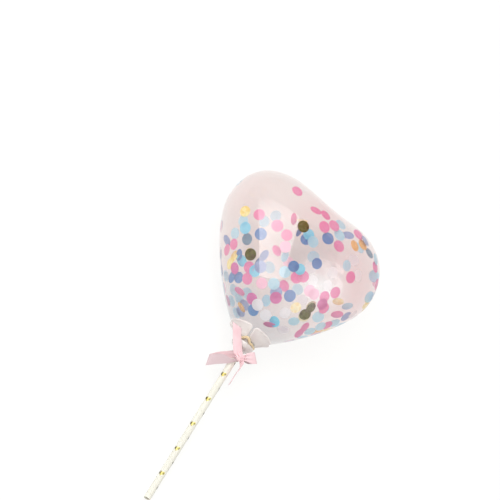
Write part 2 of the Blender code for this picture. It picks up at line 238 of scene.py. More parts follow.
def make_flag():
    """A black panel beside the softbox. The film mirrors it, but it takes no light from the table."""
    flag = make_panel("black_flag", FLAG_CORNERS, [0.0] * len(FLAG_CORNERS))
    flag.visible_diffuse = False
    flag.visible_shadow = False
    flag.visible_transmission = False


def make_surround():
    """An even surround: white where the camera sees it, dimmer as a light."""
    world = bpy.data.worlds.new("studio")
    bpy.context.scene.world = world
    world.use_nodes = True
    tree = world.node_tree
    shown = tree.nodes["Background"]
    lit = tree.nodes.new("ShaderNodeBackground")
    for background, strength in ((shown, SURROUND_SHOWN), (lit, SURROUND_LIGHT)):
        background.inputs["Color"].default_value = SURROUND_COLOUR
        background.inputs["Strength"].default_value = strength
    seen = tree.nodes.new("ShaderNodeLightPath")
    mix = tree.nodes.new("ShaderNodeMixShader")
    tree.links.new(seen.outputs["Is Camera Ray"], mix.inputs["Fac"])
    tree.links.new(lit.outputs["Background"], mix.inputs[1])
    tree.links.new(shown.outputs["Background"], mix.inputs[2])
    tree.links.new(mix.outputs["Shader"], tree.nodes["World Output"].inputs["Surface"])


make_light_table()
make_softbox()
make_flag()
make_surround()
bpy.context.scene.view_settings.view_transform = "Standard"
print("studio ready")

# %% [markdown]
# ## Helpers for pieces and finishes
#
# Each piece is a mesh of points and faces in upright coordinates, laid down by the lying matrix as
# its mesh is made, so that its box on the table is its true size. Colours are written as the 0 to
# 255 numbers of a paint chart and turned into the linear values that the shaders work with.

# %% Make an object from points and faces
def make_piece(name, points, faces, material, sharp_from=50.0):
    """An object from upright points, smooth but for edges sharper than the angle."""
    mesh = bpy.data.meshes.new(name)
    mesh.from_pydata([tuple(lying @ point) for point in points], [], faces)
    work = bmesh.new()
    work.from_mesh(mesh)
    bmesh.ops.recalc_face_normals(work, faces=work.faces)
    work.to_mesh(mesh)
    work.free()
    mesh.shade_smooth()
    mesh.set_sharp_from_angle(angle=math.radians(sharp_from))
    mesh.materials.append(material)
    print(f"{name}: {len(points)} points")
    return add_object(name, mesh)


def join_shells(shells):
    """Several (points, faces) shells as one."""
    points, faces = [], []
    for shell_points, shell_faces in shells:
        start = len(points)
        points += shell_points
        faces += [tuple(start + index for index in face) for face in shell_faces]
    return points, faces


def ring_faces(rings, around, closed=False):
    """Quads between rings of points that follow each other, and back to the first if closed."""
    faces = []
    for ring in range(rings if closed else rings - 1):
        low, high = ring * around, (ring + 1) % rings * around
        for i in range(around):
            j = (i + 1) % around
            faces.append((low + i, low + j, high + j, high + i))
    return faces


def fan_faces(start, around):
    """Triangles from the ring that starts at this point to the single point right after it."""
    return [(start + i, start + (i + 1) % around, start + around) for i in range(around)]


def plate_faces(rings, around):
    """Faces of a thin plate: in front, rings that shrink to a middle point, and the same behind."""
    count = rings * around + 1
    front = ring_faces(rings, around) + fan_faces((rings - 1) * around, around)
    back = [tuple(count + index for index in reversed(face)) for face in front]
    edge = [(i, count + i, count + (i + 1) % around, (i + 1) % around) for i in range(around)]
    return front + back + edge


# %% Paint-chart colours and node helpers
def paint(red, green, blue):
    """A paint-chart colour as linear RGBA."""
    def linear(value):
        value /= 255
        return value / 12.92 if value <= 0.04045 else ((value + 0.055) / 1.055) ** 2.4
    return (linear(red), linear(green), linear(blue), 1.0)


def texture(tree, kind, **settings):
    """A texture node of this kind in object coordinates, with its sockets set."""
    place = tree.nodes.new("ShaderNodeTexCoord")
    node = tree.nodes.new("ShaderNodeTex" + kind)
    tree.links.new(place.outputs["Object"], node.inputs["Vector"])
    for socket, value in settings.items():
        node.inputs[socket].default_value = value
    return node


def mix_colour(tree, factor, first, second):
    """Two colours mixed by the factor output; each is an output or a plain colour."""
    mix = tree.nodes.new("ShaderNodeMix")
    mix.data_type = "RGBA"
    tree.links.new(factor, mix.inputs["Factor"])
    for socket, colour in (("A", first), ("B", second)):
        if isinstance(colour, tuple):
            mix.inputs[socket].default_value = colour
        else:
            tree.links.new(colour, mix.inputs[socket])
    return mix.outputs["Result"]


def spread(tree, value, low, high, to_low=0.0, to_high=1.0):
    """The value output, stretched from one range to another and held inside it."""
    node = tree.nodes.new("ShaderNodeMapRange")
    tree.links.new(value, node.inputs["Value"])
    limits = {"From Min": low, "From Max": high, "To Min": to_low, "To Max": to_high}
    for socket, number in limits.items():
        node.inputs[socket].default_value = number
    return node.outputs["Result"]


def tinted(tree, colour, value_name, tint):
    """The colour output, mixed towards a tint by a value that the mesh carries."""
    return mix_colour(tree, mesh_value(tree, value_name), colour, tint)


def finish_surface(tree, shader, colour, roughness, height, strength, distance):
    """Feed a colour, a roughness and, through a bump, a height to the shader."""
    tree.links.new(colour, shader.inputs["Base Color"])
    tree.links.new(roughness, shader.inputs["Roughness"])
    bump = tree.nodes.new("ShaderNodeBump")
    bump.inputs["Strength"].default_value = strength
    bump.inputs["Distance"].default_value = distance
    tree.links.new(height, bump.inputs["Height"])
    tree.links.new(bump.outputs["Normal"], shader.inputs["Normal"])


# %% [markdown]
# ## Shared finishes
#
# Three effects come back on several pieces. Latex is cloudy: its tint drifts from place to place and
# it has a faint orange skin. Paper shows short fibres. Foil is crinkled, so its gloss breaks up, and
# its facets are painted lighter and darker as painted reflection.
# Each effect is one node group that puts out a colour, a roughness and a height, and it gets its own
# values in each material.

# %% Make a finish group, and a material that uses it
WHITE = (1.0, 1.0, 1.0, 1.0)
EVENLY = (1.0, 1.0, 1.0)


def new_finish(name, first, second, number, usual):
    """An empty finish group that takes two colours and a number, and its input and output nodes."""
    group = bpy.data.node_groups.new(name, "ShaderNodeTree")
    for label in (first, second):
        socket = group.interface.new_socket(label, in_out="INPUT", socket_type="NodeSocketColor")
        socket.default_value = WHITE
    socket = group.interface.new_socket(number, in_out="INPUT", socket_type="NodeSocketFloat")
    socket.default_value = usual
    group.interface.new_socket("Colour", in_out="OUTPUT", socket_type="NodeSocketColor")
    for label in ("Roughness", "Height"):
        group.interface.new_socket(label, in_out="OUTPUT", socket_type="NodeSocketFloat")
    return group, group.nodes.new("NodeGroupInput"), group.nodes.new("NodeGroupOutput")


def give_out(group, out, colour, roughness, height):
    """Link the three results to the group's output node."""
    for label, result in (("Colour", colour), ("Roughness", roughness), ("Height", height)):
        group.links.new(result, out.inputs[label])


def finished_material(name, group, values, tints, bump, **settings):
    """A material with a finish group, tinted where the mesh says, and a bump (strength, depth)."""
    material, tree, shader = new_material(name, **settings)
    node = tree.nodes.new("ShaderNodeGroup")
    node.node_tree = group
    for socket, value in values.items():
        node.inputs[socket].default_value = value
    colour = node.outputs["Colour"]
    for value_name, tint in tints.items():
        colour = tinted(tree, colour, value_name, tint)
    finish_surface(tree, shader, colour, node.outputs["Roughness"], node.outputs["Height"], *bump)
    return material


# %% The cloudy latex group
def make_cloudy_latex():
    """Colour that drifts between two tints, with a slightly uneven gloss and skin."""
    group, given, out = new_finish("cloudy latex", "Tint", "Drift", "Gloss", 0.1)
    clouds = texture(group, "Noise", Scale=16.0, Detail=2.0).outputs["Fac"]
    skin = texture(group, "Noise", Scale=300.0, Detail=2.0).outputs["Fac"]
    amount = spread(group, clouds, 0.35, 0.65)
    uneven = group.nodes.new("ShaderNodeMath")
    uneven.operation = "MULTIPLY"
    group.links.new(given.outputs["Gloss"], uneven.inputs[0])
    group.links.new(spread(group, clouds, 0.3, 0.7, 0.8, 1.3), uneven.inputs[1])
    colour = mix_colour(group, amount, given.outputs["Tint"], given.outputs["Drift"])
    give_out(group, out, colour, uneven.outputs["Value"], skin)
    return group


cloudy_latex = make_cloudy_latex()

# %% The paper fibre group
def make_paper_fibre():
    """Short pale fibres on plainer paper, with an uneven gloss."""
    group, given, out = new_finish("paper fibre", "Paper", "Fibre", "Scale", 900.0)
    noise = texture(group, "Noise", Detail=4.0, Distortion=1.6)
    group.links.new(given.outputs["Scale"], noise.inputs["Scale"])
    fibres = noise.outputs["Fac"]
    amount = spread(group, fibres, 0.42, 0.72)
    colour = mix_colour(group, amount, given.outputs["Paper"], given.outputs["Fibre"])
    give_out(group, out, colour, spread(group, fibres, 0.3, 0.7, 0.45, 0.7), fibres)
    return group


paper_fibre = make_paper_fibre()

# %% The crinkled foil group
def make_crinkled_foil():
    """Flat facets and fine creases, as on foil that has been cut and handled."""
    group, given, out = new_finish("crinkled foil", "Foil", "Shade", "Scale", 300.0)
    facets = texture(group, "Voronoi")
    group.links.new(given.outputs["Scale"], facets.inputs["Scale"])
    # Each facet gets a lighter or darker colour: painted reflection.
    shade = group.nodes.new("ShaderNodeSeparateColor")
    group.links.new(facets.outputs["Color"], shade.inputs["Color"])
    amount = spread(group, shade.outputs["Red"], 0.5, 0.7)
    colour = mix_colour(group, amount, given.outputs["Foil"], given.outputs["Shade"])
    roughness = spread(group, shade.outputs["Green"], 0.0, 1.0, 0.16, 0.34)
    give_out(group, out, colour, roughness, facets.outputs["Distance"])
    return group


crinkled_foil = make_crinkled_foil()
print("shared finishes:", [cloudy_latex.name, paper_fibre.name, crinkled_foil.name])

# %% [markdown]
# ## The balloon's film
#
# The real film is latex, a few tenths of a millimetre thick, blown up in a heart-shaped mould: one
# smooth skin, pressed flat where it lies. It could be sculpted or simulated, but the outline is
# known exactly from the solid, so the skin is lofted: two Bezier outlines, one up the edge and one
# up the belly, and an ellipse-like ring through each pair of their points.

# %% Outlines of the heart
CONE_ANGLE = math.radians(50.0)
CONE_BASE = Vector((6.8, 8.3)) * MM
PETAL_LENGTH = 16.0 * MM
HEART_WIDTH = 155.0 * MM
HEART_DEPTH = 92.0 * MM
WIDEST_HEIGHT = 104.8 * MM
DEEPEST_HEIGHT = 98.0 * MM
LOBE_HEIGHT = 148.3 * MM
LOBE_SPACING = 70.5 * MM
NOTCH_DEPTH = 4.0 * MM
HEART_LEAN = math.radians(-1.55)
CONE_STEPS = 4
FLANK_STEPS = 48
SHOULDER_STEPS = 36
LOBE_STEPS = 28
FILM_AROUND = 144

# How far each stretch keeps its direction, as a share of the heart's width.
CONE_PULL = 0.127
FLANK_PULL = 0.18
SHOULDER_PULL = 0.21
LOBE_OUTER_PULL = 0.118
LOBE_INNER_PULL = 0.085
NOTCH_PULL = 0.16
BELLY_CONE_PULL = 0.10
BELLY_PULL = 0.25
BELLY_TOP_PULL = 0.19

cone_rise = Vector((math.sin(CONE_ANGLE), math.cos(CONE_ANGLE)))
petal_top = CONE_BASE + cone_rise * PETAL_LENGTH


def bezier(start, start_handle, end_handle, end, count):
    """Points on one Bezier stretch, its start left out so that stretches follow on."""
    corners = [Vector((*point, 0.0)[:3]) for point in (start, start_handle, end_handle, end)]
    return [Vector(point[:2]) for point in interpolate_bezier(*corners, count + 1)[1:]]


def heart_outlines():
    """Points up the heart's edge, and up the middle of its belly, as (offset, height)."""
    up = Vector((0.0, HEART_WIDTH))
    out = Vector((HEART_WIDTH, 0.0))
    slope = cone_rise * HEART_WIDTH
    widest = Vector((HEART_WIDTH / 2, WIDEST_HEIGHT))
    deepest = Vector((HEART_DEPTH / 2, DEEPEST_HEIGHT))
    lobe = Vector((LOBE_SPACING / 2, LOBE_HEIGHT))
    notch = Vector((0.0, LOBE_HEIGHT - NOTCH_DEPTH))
    edge = [CONE_BASE.lerp(petal_top, step / CONE_STEPS) for step in range(CONE_STEPS + 1)]
    belly = list(edge)
    for line, start, start_pull, end_pull, end, steps in (
        (edge, petal_top, slope * CONE_PULL, -up * FLANK_PULL, widest, FLANK_STEPS),
        (edge, widest, up * SHOULDER_PULL, out * LOBE_OUTER_PULL, lobe, SHOULDER_STEPS),
        (edge, lobe, -out * LOBE_INNER_PULL, out * NOTCH_PULL, notch, LOBE_STEPS),
        (belly, petal_top, slope * BELLY_CONE_PULL, -up * BELLY_PULL, deepest, FLANK_STEPS),
        (belly, deepest, up * BELLY_PULL, out * BELLY_TOP_PULL, notch, SHOULDER_STEPS + LOBE_STEPS),
    ):
        line.extend(bezier(start, start + start_pull, end + end_pull, end, steps))
    return edge, belly


def heart_point(edge_point, belly_point, angle):
    """The point at this angle on the ring through an edge point and a belly point."""
    across, ahead = math.cos(angle), math.sin(angle)
    height = edge_point.y * across**2 + belly_point.y * ahead**2
    lean = math.tan(HEART_LEAN) * max(0.0, height - petal_top.y)
    return Vector((edge_point.x * across + lean, belly_point.x * ahead, height))


# %% Press the belly on the table
PRESS_BLEND = 0.8 * MM


def pressed(point):
    """The upright point, with whatever would sink into the table pushed up on it softly."""
    spot = lying @ point
    spot.z = (spot.z + math.hypot(spot.z, PRESS_BLEND)) / 2
    return upright @ spot


def film_shell():
    """The film from the foot of its cone up to the notch, closed at both ends."""
    edge, belly = heart_outlines()
    points = []
    for edge_point, belly_point in zip(edge[:-1], belly[:-1]):
        for i in range(FILM_AROUND):
            angle = math.tau * i / FILM_AROUND
            points.append(pressed(heart_point(edge_point, belly_point, angle)))
    faces = ring_faces(len(edge) - 1, FILM_AROUND)
    faces.append(tuple(reversed(range(FILM_AROUND))))
    faces += fan_faces(len(points) - FILM_AROUND, FILM_AROUND)
    points.append(pressed(heart_point(edge[-1], belly[-1], 0.0)))
    return points, faces


film_points, film_faces = film_shell()
lowest = min((lying @ point).z for point in film_points)
print(f"film rests {lowest / MM:.2f} mm above the table")

# %% [markdown]
# ## The film's finish
#
# Clear latex lets most light through and mirrors the lamps. One even Alpha value does that without
# the bending of light that a solid block of glass would show, because a balloon is a thin skin.
# Alpha also weakens the mirror, so the specular level and a hard clear coat bring it back.
#
# The film's face carries darker patches of painted shade and painted reflection, warmer patches,
# and paler patches of painted highlight where the far wall mirrors the softbox. Towards its neck it
# has a deeper tint with painted shade by the cup. The mesh carries a value for each of these, and
# the colour is mixed towards its tint by that value.

# %% Film material
# The neck's deeper tint also carries painted shade where the film meets the cup.
NECK_TINT_AND_SHADE = (84, 52, 72)
NECK_TINT_FROM = 24.0 * MM
NECK_TINT_TO = 52.0 * MM
# Each tint is its colour and its patches: middle and reach in the picture's pixels, then depth.
# dark: painted shade and painted reflection; warm: a warmer tint; pale: a painted highlight.
FILM_TINTS_AND_PAINTED_LIGHT = {
    "dark": ((120, 16, 18), (
        ((320.0, 251.0), (36.0, 23.0), 1.0), ((249.0, 248.0), (16.0, 36.0), 0.55),
        ((297.0, 258.0), (14.0, 18.0), 0.9), ((376.0, 280.0), (10.0, 30.0), 0.35),
    )),
    "warm": ((190, 24, 16), (
        ((352.0, 288.0), (34.0, 50.0), 1.0), ((334.0, 211.0), (36.0, 16.0), 1.0),
        ((246.0, 186.0), (20.0, 20.0), 0.25),
    )),
    "pale": ((255, 250, 250), (
        ((320.0, 289.0), (24.0, 20.0), 0.85), ((286.0, 314.0), (20.0, 14.0), 0.25),
    )),
}


def neck_share(point):
    """How near the neck a point is, from 0 to 1."""
    return min(1.0, max(0.0, (NECK_TINT_TO - point.z) / (NECK_TINT_TO - NECK_TINT_FROM)))


def deepest_patch(x, y, patches):
    """How deep the deepest of these soft patches is at (x, y), from 0 to 1."""
    return max(
        depth * math.exp(-(((x - mx) / rx) ** 2 + ((y - my) / ry) ** 2))
        for (mx, my), (rx, ry), depth in patches
    )


def make_film_material():
    """Pale pink see-through latex with a hard gloss, and painted shade and highlight in its tint."""
    tints = {name: paint(*tint) for name, (tint, _) in FILM_TINTS_AND_PAINTED_LIGHT.items()}
    tints["neck"] = paint(*NECK_TINT_AND_SHADE)
    return finished_material(
        "pale pink film", cloudy_latex,
        {"Tint": paint(204, 166, 157), "Drift": paint(196, 142, 128), "Gloss": 0.03},
        tints, (0.02, 0.2 * MM),
        Alpha=0.26, IOR=1.5, Specular_IOR_Level=0.9, Coat_Weight=1.0, Coat_Roughness=0.02,
        Coat_IOR=2.2,
    )


film = make_piece("balloon_film", film_points, film_faces, make_film_material(), 60.0)
film_pixels = [pixel_of(vertex.co) for vertex in film.data.vertices]
for name, (_, patches) in FILM_TINTS_AND_PAINTED_LIGHT.items():
    add_values(film, name, [deepest_patch(x, y, patches) for x, y in film_pixels])
add_values(film, "neck", [neck_share(point) for point in film_points])
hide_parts("balloon")
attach(film, "root")

# %% [markdown]
# ## The balloon's mouth
#
# Under the cup the neck comes out between two petals and ends in the rolled rim, which is thick
# enough to show the amber of raw latex. It is a tube bent round the straw with small waves, and it
# rides up a little in the gap behind the bow. A torus would be too even, so the ring is swept point
# by point.

# %% Rolled rim and neck
BOW_TURN = math.radians(20.0)
RIM_RADIUS = 9.0 * MM
RIM_HEIGHT = 6.49 * MM
ROLL_RADIUS = 1.2 * MM
RIM_LIFT = 3.0 * MM
RIM_LIFT_REACH = math.radians(34.0)
RIM_WAVE = 0.12 * MM
RIM_WAVES = 9
RIM_WAVE_START = 1.0
ROLL_SWELLS = ((5, 0.06), (13, 0.04))
RIM_STATIONS = 144
NECK_RADIUS = 1.1 * MM
NECK_WAIST = 0.12
NECK_STATIONS = 12
TUBE_SIDES = 16


def around_straw(turn, radius, height):
    """The point at this turn from the bow's side, going towards the heart's right."""
    angle = turn - BOW_TURN
    return Vector((math.sin(angle) * radius, -math.cos(angle) * radius, height))


def tube(path, radii, closed):
    """A tube of round sections along the path; open ends are capped."""
    points, count = [], len(path)
    side = None
    for i, point in enumerate(path):
        ahead = path[(i + 1) % count] if closed or i < count - 1 else point * 2 - path[i - 1]
        behind = path[i - 1] if closed or i > 0 else point * 2 - path[i + 1]
        along = (ahead - behind).normalized()
        side = along.orthogonal() if side is None else side - along * side.dot(along)
        side.normalize()
        other = along.cross(side)
        for k in range(TUBE_SIDES):
            angle = math.tau * k / TUBE_SIDES
            points.append(point + (side * math.cos(angle) + other * math.sin(angle)) * radii[i])
    faces = ring_faces(count, TUBE_SIDES, closed)
    if not closed:
        faces.append(tuple(reversed(range(TUBE_SIDES))))
        faces.append(tuple(range(len(points) - TUBE_SIDES, len(points))))
    return points, faces


def rim_point(turn):
    """The rim's centre line, lifted up the petals' slope in the gap that faces the bow."""
    away = abs((turn + math.pi) % math.tau - math.pi)
    lift = 0.0
    if away < RIM_LIFT_REACH:
        lift = RIM_LIFT * math.cos(away / RIM_LIFT_REACH * math.pi / 2) ** 2
    wave = RIM_WAVE * math.sin(RIM_WAVES * turn + RIM_WAVE_START)
    slope = cone_rise * lift
    return around_straw(turn, RIM_RADIUS + slope.x + wave, RIM_HEIGHT + slope.y + wave)


def rim_shell():
    """The rolled rim, a little thicker and thinner along its way."""
    turns = [math.tau * i / RIM_STATIONS for i in range(RIM_STATIONS)]
    radii = []
    for turn in turns:
        swell = sum(depth * math.sin(waves * turn) for waves, depth in ROLL_SWELLS)
        radii.append(ROLL_RADIUS * (1 + swell))
    return tube([rim_point(turn) for turn in turns], radii, True)


def neck_shell():
    """The short neck that leaves the cup behind the bow and meets the rim."""
    inner = around_straw(math.pi, CONE_BASE.x - 2 * NECK_RADIUS, CONE_BASE.y + 2 * NECK_RADIUS)
    outer = around_straw(math.pi, RIM_RADIUS, RIM_HEIGHT)
    shares = [i / (NECK_STATIONS - 1) for i in range(NECK_STATIONS)]
    path = [inner.lerp(outer, share) for share in shares]
    radii = [NECK_RADIUS * (1 - NECK_WAIST * math.sin(math.pi * share)) for share in shares]
    return tube(path, radii, False)


def make_mouth_material():
    """Amber latex, thick enough to hide what is behind it."""
    return finished_material(
        "amber latex", cloudy_latex,
        {"Tint": paint(220, 200, 164), "Drift": paint(212, 188, 148), "Gloss": 0.35},
        {}, (0.2, 0.2 * MM),
        Subsurface_Weight=0.7, Subsurface_Radius=EVENLY, Subsurface_Scale=3.0 * MM,
        Coat_Weight=0.4, Coat_Roughness=0.15,
    )


mouth_shell = join_shells([rim_shell(), neck_shell()])
mouth = make_piece("balloon_mouth", *mouth_shell, make_mouth_material(), 60.0)
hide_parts("balloon")
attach(mouth, "root")

# %% [markdown]
# ## The confetti
#
# Discs of thin paper and foil cling to the inside of the film, or touch it with one edge and lean
# inwards. Each one is a real thin solid, so it reads right from every side. Discs that the
# photograph shows clearly are placed by their spot in the picture: a ray from the camera finds the
# near or the far wall. Where the photograph shows nothing, chance puts some more: round the edge of
# the film and behind discs that hide them.

# %% Find places on the film
film_tree = BVHTree.FromPolygons([lying @ point for point in film_points], film_faces)
film_middle = origin + up_straw * HEART_MIDDLE_HEIGHT


def outward_at(place):
    """The nearest film point and the film's outward direction there."""
    spot, way, _, _ = film_tree.find_nearest(place)
    return spot, way if way.dot(spot - film_middle) > 0 else -way


def wall_spot(x, y, far):
    """Where the picture's pixel meets the near or the far wall, or None beside the balloon."""
    start = camera.matrix_world.translation
    way = (picture_plane_point(x, y) - start).normalized()
    spot = None
    while True:
        hit = film_tree.ray_cast(start, way)[0]
        if hit is None:
            return spot
        spot = hit
        if not far:
            return spot
        start = hit + way * MM


# %% Discs that the photograph shows, by their pixel
# Each disc is (x, y), then how many discs lie in front of it, then, where it hangs tilted, the share
# of its width that shows and the way its long side runs, in degrees from the picture's right.
NEAR_SPOTS = {
    "hot_pink": (
        (297.5, 191, 0, 0.65, -40), (316.1, 210.2, 0, 0.45, -31), (325.9, 215, 1, 0.5, -48),
        (324.8, 226.7), (334.4, 225.6, 0, 0.68, -50), (339.2, 246.1, 0, 0.75, -60), (259.1, 214.4),
        (233.5, 244.2, 0, 0.65, 80), (226.6, 249.8, 0, 0.45, 80), (294.1, 218.9, 0, 0.5, 85),
        (248.9, 267.3, 0, 0.85, 80), (246.7, 278.9), (303.9, 276.7, 2), (297, 277.5, 2),
        (284.4, 285.8, 1, 0.78, -70), (351, 277.4), (335.6, 292.8), (324.4, 308.6, 3), (325, 297, 2),
        (337.2, 314.7, 0, 0.55, 5), (305, 327.5, 0, 0.5, 48), (299.5, 333.5, 0, 0.5, 40),
        (358.6, 234.4, 0, 0.5, -50), (239.4, 291.5, 1, 0.5, -40), (375.5, 267, 0, 0.4, -80),
        (277, 250.5, 0, 0.65, -60), (327.2, 325.6, 1, 0.5, 30), (277.4, 225.6), (287, 235),
        (269.4, 325, 1, 0.4, -12), (377.3, 284.5, 0, 0.3, 72),
    ),
    "soft_pink": ((261.7, 283.3), (314.5, 294.4), (285.6, 246.7, 1), (310, 291, 1)),
    "magenta": ((322.6, 304.4), (276, 298), (251.1, 298.9, 1), (233.9, 268.3, 1)),
    "dark_blue": (
        (260.6, 233.9), (328.1, 238.3, 0, 0.88, -55), (317.2, 263.6), (293.8, 266.4), (290, 296),
        (238.7, 254.8, 0, 0.5, 80), (306.5, 239, 3), (238.5, 277.5, 1, 0.75, 80),
        (231.4, 277.2, 0, 0.5, 75), (299.8, 231.6, 2, 0.4, 60), (256.4, 264, 2, 0.32, 70),
        (252.5, 310.5, 2),
    ),
    "slate": ((246.9, 239.1, 0, 0.82, 80), (369.7, 253.1, 0, 0.42, -60)),
    "sky_blue": (
        (309.4, 234.4, 1), (300.2, 269.3, 1), (241.6, 260.8, 1, 0.75, -70), (254.3, 271, 2),
        (274.4, 321.8, 0, 0.85, -62), (244.8, 227.8),
    ),
    "light_blue": (
        (339.7, 235, 1, 0.7, -50), (341.1, 224.4, 1, 0.5, -45), (313.3, 241.7),
        (347.2, 265.6, 0, 0.7, 90), (374.4, 276.1, 0, 0.85, 90), (360, 247.8, 1, 0.5, -60),
        (242.6, 220.6, 1), (234.8, 233.3, 0, 0.72, 85), (273.9, 283.9, 1),
        (266.1, 300.6, 0, 0.75, 80), (369.4, 297.2, 0, 0.6, 60), (320.6, 326.7, 0, 0.6, 30),
        (293.9, 321.7, 0, 0.7, 5), (285.2, 256.5, 0, 0.6, 70), (334.4, 323.3, 0, 0.5, 25),
        (310, 331.7, 0, 0.5, 20), (376.7, 258.9, 0, 0.4, -75), (347.5, 306.5, 0, 0.55, 12),
        (285, 272, 1), (318.3, 317.2, 0, 0.85, 25),
    ),
    "periwinkle": (
        (348.3, 235, 0, 0.6, -15), (226.7, 240.5, 0, 0.5, -70), (263.9, 255.3, 0, 0.6, 55),
        (260.3, 266.7, 1), (276.4, 292.5, 1), (346.1, 316.7, 0, 0.45, 40), (366, 240.5, 1, 0.4, -50),
    ),
    "white": (
        (257.2, 305), (265.6, 315.6, 1), (285, 313.3), (358.3, 275.6, 1, 0.6, 90), (333, 272.5),
        (353.2, 315.4, 1, 0.5, 40), (313.3, 280.6, 2), (328.3, 285.6, 2),
    ),
    "gold": ((244.8, 211.1), (234, 256, 1, 0.5, 65), (229.8, 263.5, 0, 0.5, 80)),
    "pale_gold": (
        (302.4, 220.4, 0, 0.25, -8), (296.1, 307.8, 1), (304.2, 316.4, 2, 0.85, 30),
        (311.2, 306.4, 1, 0.62, 50), (338.2, 301.8, 0, 0.62, -3),
    ),
    "ochre": ((355, 245.6, 0, 0.55, -65), (363, 244.6, 1, 0.5, -60), (241.1, 307.4, 0, 0.36, -58)),
    "olive": (
        (303.8, 226.2), (250.3, 254.4), (311.2, 308.2, 0, 0.62, 50), (305.2, 314.6, 0, 0.85, 30),
    ),
}
FAR_SPOTS = {
    "light_blue": (
        (275.6, 215.6), (264, 221.5), (313.3, 257), (269.4, 267.5), (233, 290), (247, 293.5),
        (231, 301), (236, 313), (225.5, 276), (238.5, 299), (297.5, 289.5),
    ),
    "periwinkle": ((240, 312), (353.5, 319), (243.5, 305.5)),
    "soft_pink": ((288, 262), (376, 281)),
    "white": ((353.9, 260), (283, 330), (310, 268), (302, 300)),
    "ochre": ((317, 332),),
}
HIDING_SPOTS = [
    spot[:2] for colour, spots in NEAR_SPOTS.items() for spot in spots
    if len(spot) < 4 and colour != "white"
]


def disc_record(colour, spot, painted_light, behind=0, narrow=1.0, way=0.0):
    """What the later steps need to know of one disc."""
    return {
        "colour": colour, "spot": spot, "painted_light": painted_light, "behind": behind, "narrow": narrow,
        "way": math.radians(way),
    }


def photo_discs(groups, far, painted_light):
    """A record of each disc in the groups that the photograph shows, those in front first."""
    discs = []
    for colour, spots in groups.items():
        for x, y, *shape in spots:
            spot = wall_spot(x, y, far)
            if spot is not None:
                discs.append(disc_record(colour, spot, painted_light, *shape))
    return sorted(discs, key=lambda disc: disc["behind"])


# Far discs are painted paler by this much: painted light, for the light and haze they get through the
# film.
FAR_PAINTED_LIGHT = 0.15
near_discs = photo_discs(NEAR_SPOTS, False, 0.0)
far_discs = photo_discs(FAR_SPOTS, True, FAR_PAINTED_LIGHT)
print(len(near_discs), "discs on the near wall and", len(far_discs), "on the far wall")

# %% Scatter the rest
SCATTER_TRIES = 6000
SCATTER_APART = 7.5 * MM
SCATTER_FROM = 30.0 * MM
SCATTER_TO = 122.0 * MM
HIDING_REACH = 1.0
EDGE_FACING = 0.22
EDGE_CHANCE = 0.3
# Scattered discs are painted paler by this much: painted light.
SCATTER_PAINTED_LIGHT = 0.3
SCATTER_COLOURS = (
    "hot_pink", "soft_pink", "soft_pink", "magenta", "dark_blue", "sky_blue", "light_blue",
    "light_blue", "light_blue", "periwinkle", "white", "white", "gold",
)
luck = random.Random(14)


def wanted_here(spot, outward):
    """Whether a disc may be here: at the film's edge in the picture, or behind a nearer disc."""
    facing = outward.dot(to_camera)
    height = (upright @ spot).z
    if facing > EDGE_FACING / 2 or not SCATTER_FROM < height < SCATTER_TO:
        return False
    if facing > -EDGE_FACING:
        return luck.random() < EDGE_CHANCE
    x, y = pixel_of(spot)
    return any(math.hypot(x - px, y - py) < HIDING_REACH for px, py in HIDING_SPOTS)


def scattered_discs(taken):
    """Records of the discs that chance puts on the walls, apart from those taken."""
    discs = []
    spots = [disc["spot"] for disc in taken]
    for _ in range(SCATTER_TRIES):
        way = Vector([luck.gauss(0.0, 1.0) for _ in range(3)]).normalized()
        spot, outward, _, _ = film_tree.ray_cast(film_middle, way)
        colour = luck.choice(SCATTER_COLOURS)
        if spot is None or not wanted_here(spot, outward if outward.dot(way) > 0 else -outward):
            continue
        if any((spot - other).length < SCATTER_APART for other in spots):
            continue
        spots.append(spot)
        discs.append(disc_record(colour, spot, SCATTER_PAINTED_LIGHT))
    return discs


scattered = scattered_discs(near_discs + far_discs)
print(len(scattered), "discs scattered on the walls that the photograph hides or blurs")

# %% The shape of one disc
DISC_SIDES = 22
DISC_RINGS = ((1.0, DISC_SIDES), (0.55, DISC_SIDES), (0.0, 1))
DISC_THICKNESS = 0.10 * MM
DISC_DIAMETER = 10.1 * MM
DISC_CURL = 0.25 * MM
FIRST_LAYER = 0.35 * MM
LAYER_STEP = 0.3 * MM
LEAST_FACING = 0.35
OVERLAP = 1.02


def clinging_points(disc, radius, slack, turn):
    """The outer and inner points of a disc that clings to the film, this far inside it."""
    _, outward = outward_at(disc["spot"])
    side = outward.orthogonal().normalized()
    other = outward.cross(side)
    outside, inside = [], []
    for share, sides in DISC_RINGS:
        for k in range(sides):
            angle = turn + math.tau * k / DISC_SIDES
            way_out = side * math.cos(angle) + other * math.sin(angle)
            wall, normal = outward_at(disc["spot"] + way_out * radius * share)
            outside.append(wall - normal * slack)
            inside.append(wall - normal * (slack + DISC_THICKNESS))
    return outside, inside


def touching(middle, rims):
    """How far towards the camera a disc may still move before its rim meets the film, or None."""
    room = []
    for rim in rims:
        start = middle + rim + to_camera * HEART_WIDTH
        hit = film_tree.ray_cast(start, -to_camera)[0]
        if hit is None:
            return None
        room.append((hit - middle - rim).dot(to_camera))
    return min(room)


